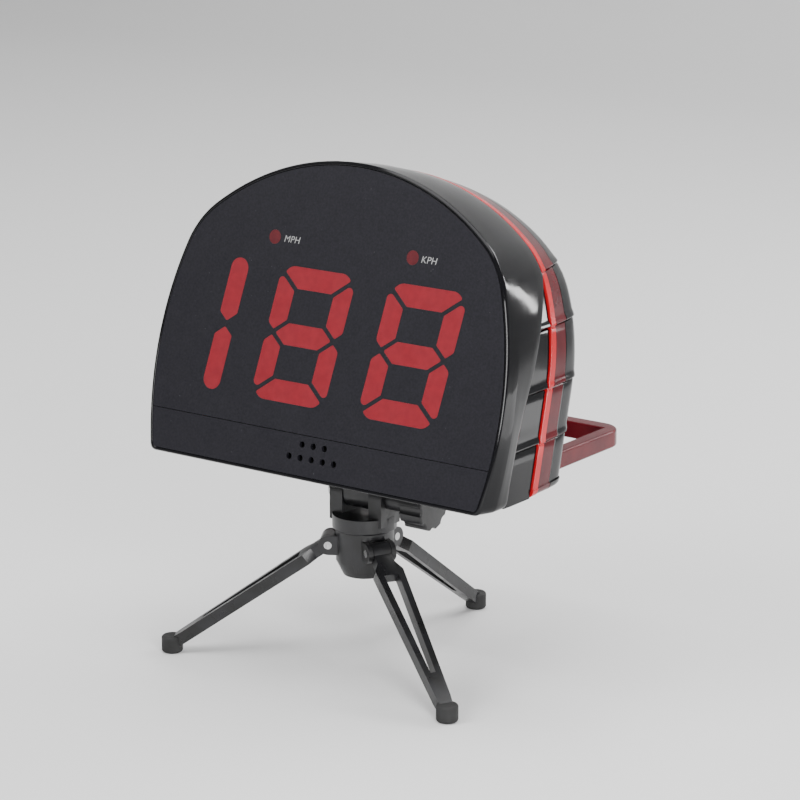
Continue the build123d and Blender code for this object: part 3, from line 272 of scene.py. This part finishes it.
NODE_BODIES = {name: body for body, names in frame["record"]["behaviour"]["bodies"].items() for name in names}

for name, obj in frame["nodes"].items():
    obj.data.materials.clear()
    obj.data.materials.append(MATERIALS[NODE_SLOTS[name]])


# ---------------------------------------------------------------- mesh helpers
CURVE_WELD = 0.002        # merging distances of points, the first two in millimetres
FLAT_WELD = 0.001
NODE_WELD = 0.00001
FLAT_WITHIN = 0.02        # how far a point of a flat face may stand off its depth
EDGE_SEGMENTS = 2
EDGE_ANGLE = radians(28)
CORNER_STEPS = 6


def place(name, mesh, material, body, *nodes, sharp=35):
    """Put a finished mesh, in metres, in the scene as a piece that rides on a body.

    Faces in the panel's plane are shaded flat, the rest smooth up to the sharp angle.
    """
    mesh.set_sharp_from_angle(angle=radians(sharp))
    out = HEAD.col[2].to_3d().normalized()
    for polygon in mesh.polygons:
        polygon.use_smooth = abs(polygon.normal.dot(out)) < 0.9999
    mesh.materials.clear()
    mesh.materials.append(MATERIALS[material])
    obj = bpy.data.objects.new(name, mesh)
    bpy.context.scene.collection.objects.link(obj)
    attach(obj, body)
    if nodes:
        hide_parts(*nodes)
    return obj


def mesh_from_curve(curve):
    """Mesh of a curve, welded shut."""
    holder = bpy.data.objects.new("holder", curve)
    bpy.context.scene.collection.objects.link(holder)
    bpy.context.view_layer.update()
    mesh = bpy.data.meshes.new_from_object(holder.evaluated_get(bpy.context.evaluated_depsgraph_get()))
    bpy.data.objects.remove(holder)
    work = bmesh.new()
    work.from_mesh(mesh)
    bmesh.ops.remove_doubles(work, verts=work.verts, dist=CURVE_WELD)
    bmesh.ops.recalc_face_normals(work, faces=work.faces)
    work.to_mesh(mesh)
    work.free()
    return mesh


def plate_mesh(loops, front, back, bevel):
    """Flat plate with rounded edges and holes, between two depths of the head."""
    curve = bpy.data.curves.new("plate", "CURVE")
    curve.dimensions = "2D"
    curve.fill_mode = "BOTH"
    curve.extrude = (back - front) / 2 - bevel
    curve.bevel_depth = bevel
    curve.bevel_resolution = 2
    curve.offset = -bevel
    for loop in loops:
        spline = curve.splines.new("POLY")
        spline.points.add(len(loop) - 1)
        for point, (s, t) in zip(spline.points, loop):
            point.co = (s, t, 0, 1)
        spline.use_cyclic_u = True
    mesh = mesh_from_curve(curve)
    mesh.transform(HEAD @ Matrix.Translation((0, 0, -(front + back) / 2)))
    return mesh


def flat_loops(name, depth):
    """Outlines, as (s, t) points, of a CAD node's faces that lie flat at a depth of the head."""
    obj = frame["nodes"][name]
    work = bmesh.new()
    work.from_mesh(obj.data)
    work.transform(HEAD.inverted() @ obj.matrix_world)
    bmesh.ops.remove_doubles(work, verts=work.verts, dist=FLAT_WELD)
    flat = {face for face in work.faces if all(abs(vert.co.z + depth) < FLAT_WITHIN for vert in face.verts)}
    rim = {edge for edge in work.edges if len(flat.intersection(edge.link_faces)) == 1}
    loops = []
    while rim:
        start, here = rim.pop().verts
        loop = [start]
        while here is not start:
            loop.append(here)
            edge = next(edge for edge in here.link_edges if edge in rim)
            rim.remove(edge)
            here = edge.other_vert(here)
        loops.append([(vert.co.x, vert.co.y) for vert in loop])
    work.free()
    return loops


def loop_width(loop):
    """Width of a loop of (s, t) points."""
    return max(s for s, _ in loop) - min(s for s, _ in loop)


def soften(name, width):
    """A CAD node again, with its sharp edges rounded over."""
    source = frame["nodes"][name]
    mesh = source.data.copy()
    work = bmesh.new()
    work.from_mesh(mesh)
    bmesh.ops.remove_doubles(work, verts=work.verts, dist=NODE_WELD)
    bmesh.ops.dissolve_limit(work, angle_limit=radians(1), verts=work.verts, edges=work.edges)
    work.to_mesh(mesh)
    work.free()
    obj = place(name + "_finished", mesh, NODE_SLOTS[name], NODE_BODIES[name], name)
    bevel = obj.modifiers.new("edges", "BEVEL")
    bevel.width = width
    bevel.segments = EDGE_SEGMENTS
    bevel.limit_method = "ANGLE"
    bevel.angle_limit = EDGE_ANGLE
    bevel.harden_normals = True


# ---------------------------------------------------------------- the dome outlines
def dome_outline(side_centre, side_radius, shoulder_radius, crown_top, lowest):
    """Right half of an outline as three tangent arcs: centre, radius, bearings of its ends."""
    crown_centre = (0.0, crown_top - CROWN_RADIUS)
    to_side = side_radius - shoulder_radius
    to_crown = CROWN_RADIUS - shoulder_radius
    across = (crown_centre[0] - side_centre[0], crown_centre[1] - side_centre[1])
    between = hypot(*across)
    inner_angle = acos((to_side**2 - to_crown**2 + between**2) / (2 * between * to_side))
    turn = atan2(across[1], across[0]) + inner_angle
    shoulder = (side_centre[0] + to_side * cos(turn), side_centre[1] + to_side * sin(turn))
    crown_start = atan2(shoulder[1] - crown_centre[1], shoulder[0] - crown_centre[0])
    return (
        (side_centre, side_radius, lowest, turn),
        (shoulder, shoulder_radius, turn, crown_start),
        (crown_centre, CROWN_RADIUS, crown_start, pi / 2),
    )


PANEL_OUTLINE = dome_outline((-84.5, 42.0), 191.0, 45.0, 153.0, -pi / 2)
BODY_OUTLINE = dome_outline((-10.8, 60.0), 116.0, 51.4, 154.5, 0.0)      # straight below its side arc
CROWN_STEPS = 44
CROWN_HEIGHT = 116.0      # above this height the outlines are followed by bearing, not by height


def edge_bearing(outline, t, grow):
    """Bearing of an outline's outward normal at a height t."""
    for centre, radius, start, end in outline:
        rise = (t - centre[1]) / (radius + grow)
        if rise <= sin(end):
            return max(start, asin(max(-1.0, rise)))
    return pi / 2


def edge_point(outline, bearing, grow):
    """Point of a grown outline whose outward normal has that bearing."""
    centre, radius = next((centre, radius) for centre, radius, _, end in outline if bearing <= end + 1e-9)
    return Vector((centre[0] + (radius + grow) * cos(bearing), centre[1] + (radius + grow) * sin(bearing)))


def half_width(t, depth, grow):
    """Half width of the head: the panel's outline in front, blended into the housing's behind."""
    outlines = (PANEL_OUTLINE, BODY_OUTLINE)
    panel, body = (edge_point(outline, edge_bearing(outline, t, grow), grow).x for outline in outlines)
    return panel + (body - panel) * min(1.0, depth / FLANK_BACK)


def crown_point(share, depth, grow):
    """Point over the top of the head, from its shoulder at share 0 to its middle at share 1."""
    t = panel_t(CROWN_HEIGHT, depth)
    points = []
    for outline in (PANEL_OUTLINE, BODY_OUTLINE):
        start = edge_bearing(outline, t, grow)
        points.append(edge_point(outline, start + (pi / 2 - start) * share, grow))
    return points[0].lerp(points[1], min(1.0, depth / FLANK_BACK))


def panel_t(height, depth):
    """Height t along the panel of a level line a height above the base."""
    return PANEL_FOOT + (height + depth * sin(LEAN)) / cos(LEAN)


def crease_at(height):
    """Depth of the bezel's rear edge where it crosses a level line."""
    depth = CREASE_DEPTH
    for _ in range(8):
        rise = max(0.0, panel_t(height, depth) - CREASE_T)
        depth = min(MID_BACK, CREASE_DEPTH + CREASE_RADIUS - (CREASE_RADIUS**2 - rise**2) ** 0.5)
    return depth


# offsets from a step's edge, and how far in from the outline the surface stands there
LIP = {
    -1.5: -1.15, -0.9: -1.5, -0.5: -2.4, -0.1: -2.4, 0.0: -1.2, 0.1: -0.25,
    0.4: 0.0, 1.1: -0.05, 2.0: -0.35, 2.9: -0.75, 3.8: -0.9,
}
BOARD_INSET = -0.9        # surface just above a step, and how much further in it is under the next one
BOARD_SINK = -0.2
CROWN_INSET = -0.35       # just above the highest step, fading out towards the crown
LEVEL_PITCH = 3           # height between level lines away from the steps
LEVEL_CLEAR = 4.4         # heights this near a step are left to LIP


def level_heights():
    """Heights of the level lines up the side, close together at each step."""
    heights = {float(height) for height in range(4, int(CROWN_HEIGHT), LEVEL_PITCH)}
    heights = {height for height in heights if all(abs(height - step) > LEVEL_CLEAR for step in STEP_HEIGHTS)}
    for step in STEP_HEIGHTS:
        heights.update(step + offset for offset in LIP)
    return sorted(heights) + [CROWN_HEIGHT]


def step_inset(height):
    """Clapboard profile of the stepped side: proud at each step's edge, sunk above it."""
    for step in STEP_HEIGHTS:
        for offset, inset in LIP.items():
            if abs(height - step - offset) < 0.01:
                return inset if height < STEP_HEIGHTS[-1] else max(inset, CROWN_INSET)
    below = max([0.0] + [step for step in STEP_HEIGHTS if step <= height])
    above = min([step for step in STEP_HEIGHTS if step > height] + [CROWN_HEIGHT])
    if above == CROWN_HEIGHT:
        return CROWN_INSET * (CROWN_HEIGHT - height) / (CROWN_HEIGHT - below)
    return BOARD_INSET + BOARD_SINK * (height - below) / (above - below)


BULGE_T = 40.0            # the lower flank's bulge is whole up to here, then fades out over a length
BULGE_FADE = 60.0
CORNER_RISE = 0.4         # level lines lower than the rounded corner are gathered within this height


def dome_loop(grow, depth, foot=0.0, corner=4.0, stepped=0.0, sweep=0.0, bulge=0.0):
    """Closed loop of (s, t, depth) round the head, rounded where it meets the flat base.

    foot is the height of its lower edge above the base, and corner the size of its rounded corner.
    stepped is how fully it follows the steps, and sweep how fully it follows the crease's sweep.
    bulge swells the lower flank.
    """
    base = panel_t(foot, depth)
    low = base + corner
    right = []
    for height in level_heights():
        here = depth + sweep * (crease_at(height) - CREASE_DEPTH)
        t = panel_t(height, here)
        if t <= low + CORNER_RISE:
            t = low + CORNER_RISE * height / CROWN_HEIGHT
        swell = bulge * max(0.0, 1 - max(0.0, t - BULGE_T) / BULGE_FADE) ** 2
        right.append((half_width(t, here, grow + stepped * step_inset(height)) + swell, t, here))
    here = depth + sweep * (MID_BACK - CREASE_DEPTH)
    for index in range(1, CROWN_STEPS + 1):
        right.append((*crown_point(index / CROWN_STEPS, here, grow), here))
    wide = half_width(base, depth, grow) + bulge
    side_point = (half_width(low, depth, grow) + bulge, low)
    bottom = [(0.0, base, depth)]
    for index in range(CORNER_STEPS + 1):
        u = index / CORNER_STEPS
        weights = ((1 - u) ** 2, 2 * u * (1 - u), u**2)
        points = ((wide - corner, base), (wide, base), side_point)
        s, t = (sum(w * p[axis] for w, p in zip(weights, points)) for axis in (0, 1))
        bottom.append((s, t, depth))
    half = bottom + right
    return half + [(-s, t, d) for s, t, d in reversed(half[1:-1])]


def head_vertex(work, s, t, depth):
    """Vertex at a place in the head's own frame."""
    return work.verts.new(HEAD @ Vector((s, t, -depth)))


def skin_mesh(loops, closed=True):
    """Skin through loops of (s, t, depth): closed on itself, or capped at both ends."""
    work = bmesh.new()
    rings = [[head_vertex(work, *point) for point in loop] for loop in loops]
    following = rings[1:] + rings[:1] if closed else rings[1:]
    for ring, after in zip(rings, following):
        for index in range(len(ring)):
            nearby = (index + 1) % len(ring)
            work.faces.new((ring[index], ring[nearby], after[nearby], after[index]))
    if not closed:
        work.faces.new(rings[0])
        work.faces.new(rings[-1])
    bmesh.ops.recalc_face_normals(work, faces=work.faces)
    mesh = bpy.data.meshes.new("skin")
    work.to_mesh(mesh)
    work.free()
    return mesh


# ---------------------------------------------------------------- housing shells
def build_bezel():
    """Gloss hood: rounded lip beside the panel, two-faceted flank, rear edge swept back to the bead."""
    # grow, depth, height of the lower edge above the base
    lip = [
        (-1.15, 2.6, 1.8), (-1.15, 0.6, 1.8), (-1.0, 0.2, 1.6), (-0.7, 0.0, 1.35), (-0.25, 0.0, 1.0),
        (-0.1, 0.06, 0.85), (0.62, 0.78, 0.2), (0.78, 1.02, 0.06), (0.85, 1.35, 0.0),
    ]
    # grow, depth, share of the sweep, bulge
    flank = [
        (0.85, 2.5, 0.0, 0.2), (0.85, 5.5, 0.0, 0.8), (0.8, 8.8, 0.0, 1.45), (0.8, 9.3, 0.03, 1.45),
        (0.75, 12.5, 0.4, 0.95), (0.65, 15.5, 0.75, 0.5), (0.6, 17.3, 0.96, 0.25), (0.45, 17.8, 0.995, 0.2),
        (0.0, 18.0, 1.0, 0.1),
    ]
    inside = [(-2.2, 18.0, 1.0), (-2.2, 12.0, 0.4), (-2.0, 4.9, 0.0), (-5.0, 4.9, 0.0), (-5.0, 2.7, 0.0)]
    loops = [dome_loop(grow, depth, foot, corner=3.4) for grow, depth, foot in lip]
    loops += [dome_loop(grow, depth, sweep=sweep, bulge=bulge) for grow, depth, sweep, bulge in flank]
    loops += [dome_loop(grow, depth, 2.5, 3.0, sweep=sweep) for grow, depth, sweep in inside]
    place("bezel_gloss", skin_mesh(loops), "gloss_black", "head", "front_bezel", sharp=50)


SHELL_INNER = -3.2        # inner wall of the shells, from the housing's outline
SHELL_SHARES = (0.0, 0.012, 0.25, 0.5, 0.75, 0.988, 1.0)      # from a side shell's front edge to its back
SHELL_LEAST = 0.6         # a side shell ends where it would be narrower than this
EDGE_ROUND = 0.25
PIECE_GAP = 0.1
BEAD_FRONT = MID_BACK + PIECE_GAP
RING_FRONT = BEAD_BACK + PIECE_GAP


def build_side_shell(side, name):
    """Stepped cheek between the bezel's swept edge and the bead, narrowing to a point upwards."""
    loops = []
    for height in [0.0] + level_heights():
        front = crease_at(height) + 1.5 * PIECE_GAP
        back = MID_BACK - PIECE_GAP
        if back - front < SHELL_LEAST:
            break
        loop = []
        for share in SHELL_SHARES:
            depth = front + (back - front) * share
            t = panel_t(height, depth)
            edge = EDGE_ROUND if share in (0.0, 1.0) else 0.0
            loop.append((side * half_width(t, depth, step_inset(height) - edge), t, depth))
        for depth in (back, front):
            t = panel_t(height, depth)
            loop.append((side * half_width(t, depth, SHELL_INNER), t, depth))
        loops.append(loop)
    place(name + "_gloss", skin_mesh(loops, closed=False), "gloss_black", "head", name, sharp=32)


def build_shell(name, material, first, last, replaced, stepped):
    """Length of the side between the first and last (grow, depth) of its outline."""
    (first_grow, front), (last_grow, back) = first, last
    pairs = [(first_grow - EDGE_ROUND, front)]
    for share in (0.0, 0.5, 1.0):
        depth = front + EDGE_ROUND + (back - front - 2 * EDGE_ROUND) * share
        pairs.append((first_grow + (last_grow - first_grow) * share, depth))
    pairs.append((last_grow - EDGE_ROUND, back))
    loops = [dome_loop(grow, depth, stepped=stepped) for grow, depth in pairs]
    loops += [dome_loop(SHELL_INNER, depth, foot=0.6) for depth in (back, front)]
    place(name, skin_mesh(loops), material, "head", replaced, sharp=32)


def rounded_box_loop(centre, width, height, radius):
    """Rectangle with rounded corners as a loop of points."""
    loop = []
    for corner in range(4):
        turn = corner * pi / 2
        sx = 1 if corner in (0, 3) else -1
        sy = 1 if corner in (0, 1) else -1
        for index in range(CORNER_STEPS + 1):
            angle = turn + index * pi / 2 / CORNER_STEPS
            s = centre[0] + sx * (width / 2 - radius) + radius * cos(angle)
            t = centre[1] + sy * (height / 2 - radius) + radius * sin(angle)
            loop.append((s, t))
    return loop


def lug_block(centre, size, radius, reach):
    """Rounded lug that stands on the flat back and reaches out from it."""
    outline = rounded_box_loop(centre, size[0], size[1], radius)
    return plate_mesh([outline], REAR_FACE - 0.5, REAR_FACE + reach, 0.4)


def joined(meshes):
    """Several meshes as one."""
    work = bmesh.new()
    for mesh in meshes:
        work.from_mesh(mesh)
    result = bpy.data.meshes.new("joined")
    work.to_mesh(result)
    work.free()
    return result


# centre of the right-hand lug, its width and height, its corner radius, and how far out it reaches
LUGS = [((79.7, 19.6), (4, 9), 1.5, 8.5), ((28.5, 16.4), (4, 4), 1.2, 4.6)]


def build_rear():
    """Rear cover: stepped side that curls in, and a flat back with its openings and lugs."""
    # grow, depth, how fully the steps are followed
    curl = [
        (-0.75, RING_BACK + PIECE_GAP, 1.0), (-0.5, RING_BACK + 0.35, 1.0), (-0.7, 58.0, 1.0),
        (-1.0, 61.0, 1.0), (-1.4, 63.8, 1.0), (-2.2, 66.0, 0.8), (-3.8, 67.9, 0.5),
        (-5.7, 68.75, 0.25), (-7.0, 68.95, 0.0), (-7.35, REAR_FACE, 0.0),
    ]
    loops = [dome_loop(grow, depth, stepped=amount) for grow, depth, amount in curl]
    inside = [(-7.35, REAR_INNER), (-5.0, 63.0), (-3.3, RING_BACK + PIECE_GAP)]
    loops += [dome_loop(grow, depth, foot=0.6) for grow, depth in inside]
    back = [(s, t) for s, t, _ in dome_loop(-7.4, REAR_FACE, foot=0.3)]
    openings = sorted(flat_loops("rear_cover", REAR_FACE), key=loop_width)[:-1]
    parts = [skin_mesh(loops), plate_mesh([back] + openings, REAR_INNER, REAR_FACE, 0.3)]
    for side in (-1, 1):
        for (lug_s, lug_t), size, radius, reach in LUGS:
            parts.append(lug_block((side * lug_s, lug_t), size, radius, reach))
    place("rear_cover_gloss", joined(parts), "gloss_black", "head", "rear_cover", sharp=32)


build_bezel()
build_side_shell(-1, "left_side_shell")
build_side_shell(1, "right_side_shell")
build_shell("ring_bead_clear", "bead_red", (0.6, BEAD_FRONT), (0.45, BEAD_BACK), "ring_bead", 0.4)
build_shell("light_ring_clear", "ring_red", (0.0, RING_FRONT), (-0.5, RING_BACK), "light_ring", 1.0)
build_rear()


# ---------------------------------------------------------------- face panel and digits
PANEL_SINK = 0.3          # panel's face, behind the lip
PANEL_BACK = 2.7
GUIDE_SINK = 0.06         # light guides' faces, behind the panel's
GUIDE_BACK = 4.9
FACE_ROUND = 0.12
GUIDES = ("digit_segments_hundreds", "digit_segments_tens", "digit_segments_ones", "unit_indicator_lenses")
LABEL_T = 111.7
LABEL_SIZE = 4.8
UNIT_LABELS = {"MPH": -36.4, "KPH": 47.3}       # left end of each


def build_face():
    """Printed panel and fascia, and the flush light guides in the panel's openings."""
    for name in ("display_panel", "lower_fascia"):
        plate = plate_mesh(flat_loops(name, PANEL_SINK), PANEL_SINK, PANEL_BACK, FACE_ROUND)
        place(name + "_print", plate, "panel_grey", "head", name, sharp=25)
    for name in GUIDES:
        loops = flat_loops(name, PANEL_SINK)
        parts = [plate_mesh([loop], PANEL_SINK + GUIDE_SINK, GUIDE_BACK, FACE_ROUND) for loop in loops]
        place(name + "_frosted", joined(parts), NODE_SLOTS[name], "head", name, sharp=30)


def unit_label(text, s):
    """Small generic unit label printed beside its lamp."""
    curve = bpy.data.curves.new("label", "FONT")
    curve.body = text
    curve.size = LABEL_SIZE
    curve.shear = 0.18
    curve.extrude = 0.04
    curve.space_character = 1.05
    curve.align_y = "CENTER"
    mesh = mesh_from_curve(curve)
    mesh.transform(HEAD @ Matrix.Translation((s, LABEL_T, -PANEL_SINK + 0.02)))
    place("unit_label_" + text.lower(), mesh, "print_grey", "head")


build_face()
for label, label_s in UNIT_LABELS.items():
    unit_label(label, label_s)

# ---------------------------------------------------------------- carried-over CAD pieces
# how far each one's sharp edges are rounded, in millimetres
SOFT_EDGES = {
    "tripod_platform": 0.5, "platform_pad": 0.3, "thumb_wheel": 0.2, "tilt_yoke": 0.5, "clamp_knob": 0.6,
    "tripod_hub": 0.5, "base_plate": 0.4, "battery_door": 0.4, "bail_stand": 0.9,
    "leg_left": 0.7, "leg_right": 0.7, "leg_rear": 0.7,
    "mode_button": 0.3, "power_button": 0.3, "unit_button": 0.3, "housing_screws": 0.12, "base_feet": 0.2,
}
for name, width in SOFT_EDGES.items():
    soften(name, width * MM)


# ---------------------------------------------------------------- studio
MIDDLE = (0, 0, 0.15)
# position, aim, width and height, watts
LIGHTS = {
    "key": ((-0.7, -1.2, 1.3), MIDDLE, (0.9, 0.9), 17),
    "overhead": ((0, 0.2, 2.2), MIDDLE, (2.0, 2.0), 60),
    "back": ((0.6, 1.2, 1.1), MIDDLE, (0.9, 0.5), 10),
    "low": ((0.48, 0.30, 0.04), (0.10, -0.03, 0.04), (0.32, 0.08), 0.22),
    "lip": ((0.95, -0.70, 0.50), MIDDLE, (0.36, 0.62), 12),
    "streak": ((0.62, 1.05, 0.42), MIDDLE, (0.06, 0.30), 1.4),
}
WORLD_STRENGTH = 0.35
FLOOR_REACH = 4.0
SWEEP_START = 1.6         # where the floor starts to curve up into the backdrop
SWEEP_RADIUS = 0.8
SWEEP_STEPS = 10
WALL_TOP = 3.0


def area_light(name, position, aim, size, power):
    """Soft rectangular light."""
    data = bpy.data.lights.new(name, "AREA")
    data.shape = "RECTANGLE"
    data.size, data.size_y = size
    data.energy = power
    light = bpy.data.objects.new(name, data)
    bpy.context.scene.collection.objects.link(light)
    light.location = position
    light.rotation_euler = (Vector(aim) - Vector(position)).to_track_quat("-Z", "Y").to_euler()


def build_world():
    """Even white surroundings."""
    world = bpy.data.worlds.new("studio")
    bpy.context.scene.world = world
    world.use_nodes = True
    world.node_tree.nodes["Background"].inputs["Color"].default_value = (1, 1, 1, 1)
    world.node_tree.nodes["Background"].inputs["Strength"].default_value = WORLD_STRENGTH


def build_floor():
    """Pale floor that curves up into a backdrop."""
    floor_mesh = bpy.data.meshes.new("floor")
    work = bmesh.new()
    rows = [(-FLOOR_REACH, 0.0), (SWEEP_START, 0.0)]
    for step in range(1, SWEEP_STEPS + 1):
        angle = step * pi / 2 / SWEEP_STEPS
        rows.append((SWEEP_START + SWEEP_RADIUS * sin(angle), SWEEP_RADIUS - SWEEP_RADIUS * cos(angle)))
    rows.append((SWEEP_START + SWEEP_RADIUS, WALL_TOP))
    lines = [[work.verts.new((x, y, z)) for x in (-FLOOR_REACH, FLOOR_REACH)] for y, z in rows]
    for near, far in zip(lines, lines[1:]):
        work.faces.new((near[0], near[1], far[1], far[0]))
    work.to_mesh(floor_mesh)
    work.free()
    for polygon in floor_mesh.polygons:
        polygon.use_smooth = True
    floor_mesh.materials.append(new_material("floor_pale", (0.82, 0.82, 0.82), 0.5))
    floor = bpy.data.objects.new("floor", floor_mesh)
    bpy.context.scene.collection.objects.link(floor)


CAMERA_AZIMUTH = radians(37.58)
CAMERA_ELEVATION = radians(12.03)
CAMERA_DISTANCE = 1.535
CAMERA_RIGHT = -0.0094    # how far the eye stands off the line to the middle of the head
CAMERA_UP = 0.0342
CAMERA_AIM = Vector((0.004, 0.0, 0.132))
CAMERA_LENS = 140.6
HEAD_MIDDLE = Vector((0, PANEL_Y + 20, BASE_Z + 79.84)) * MM


def build_camera():
    """Long lens from the front right, a little above, at the photograph's viewing angle."""
    flat = cos(CAMERA_ELEVATION)
    towards = Vector((sin(CAMERA_AZIMUTH) * flat, -cos(CAMERA_AZIMUTH) * flat, sin(CAMERA_ELEVATION)))
    right = Vector((0, 0, 1)).cross(towards).normalized()
    up = towards.cross(right)
    eye = HEAD_MIDDLE + towards * CAMERA_DISTANCE + right * CAMERA_RIGHT + up * CAMERA_UP
    data = bpy.data.cameras.new("camera")
    data.lens = CAMERA_LENS
    data.sensor_width = 36
    camera = bpy.data.objects.new("camera", data)
    bpy.context.scene.collection.objects.link(camera)
    camera.location = eye
    camera.rotation_euler = (CAMERA_AIM - eye).to_track_quat("-Z", "Y").to_euler()
    bpy.context.scene.camera = camera


build_world()
for light_name, settings in LIGHTS.items():
    area_light(light_name, *settings)
build_floor()
build_camera()
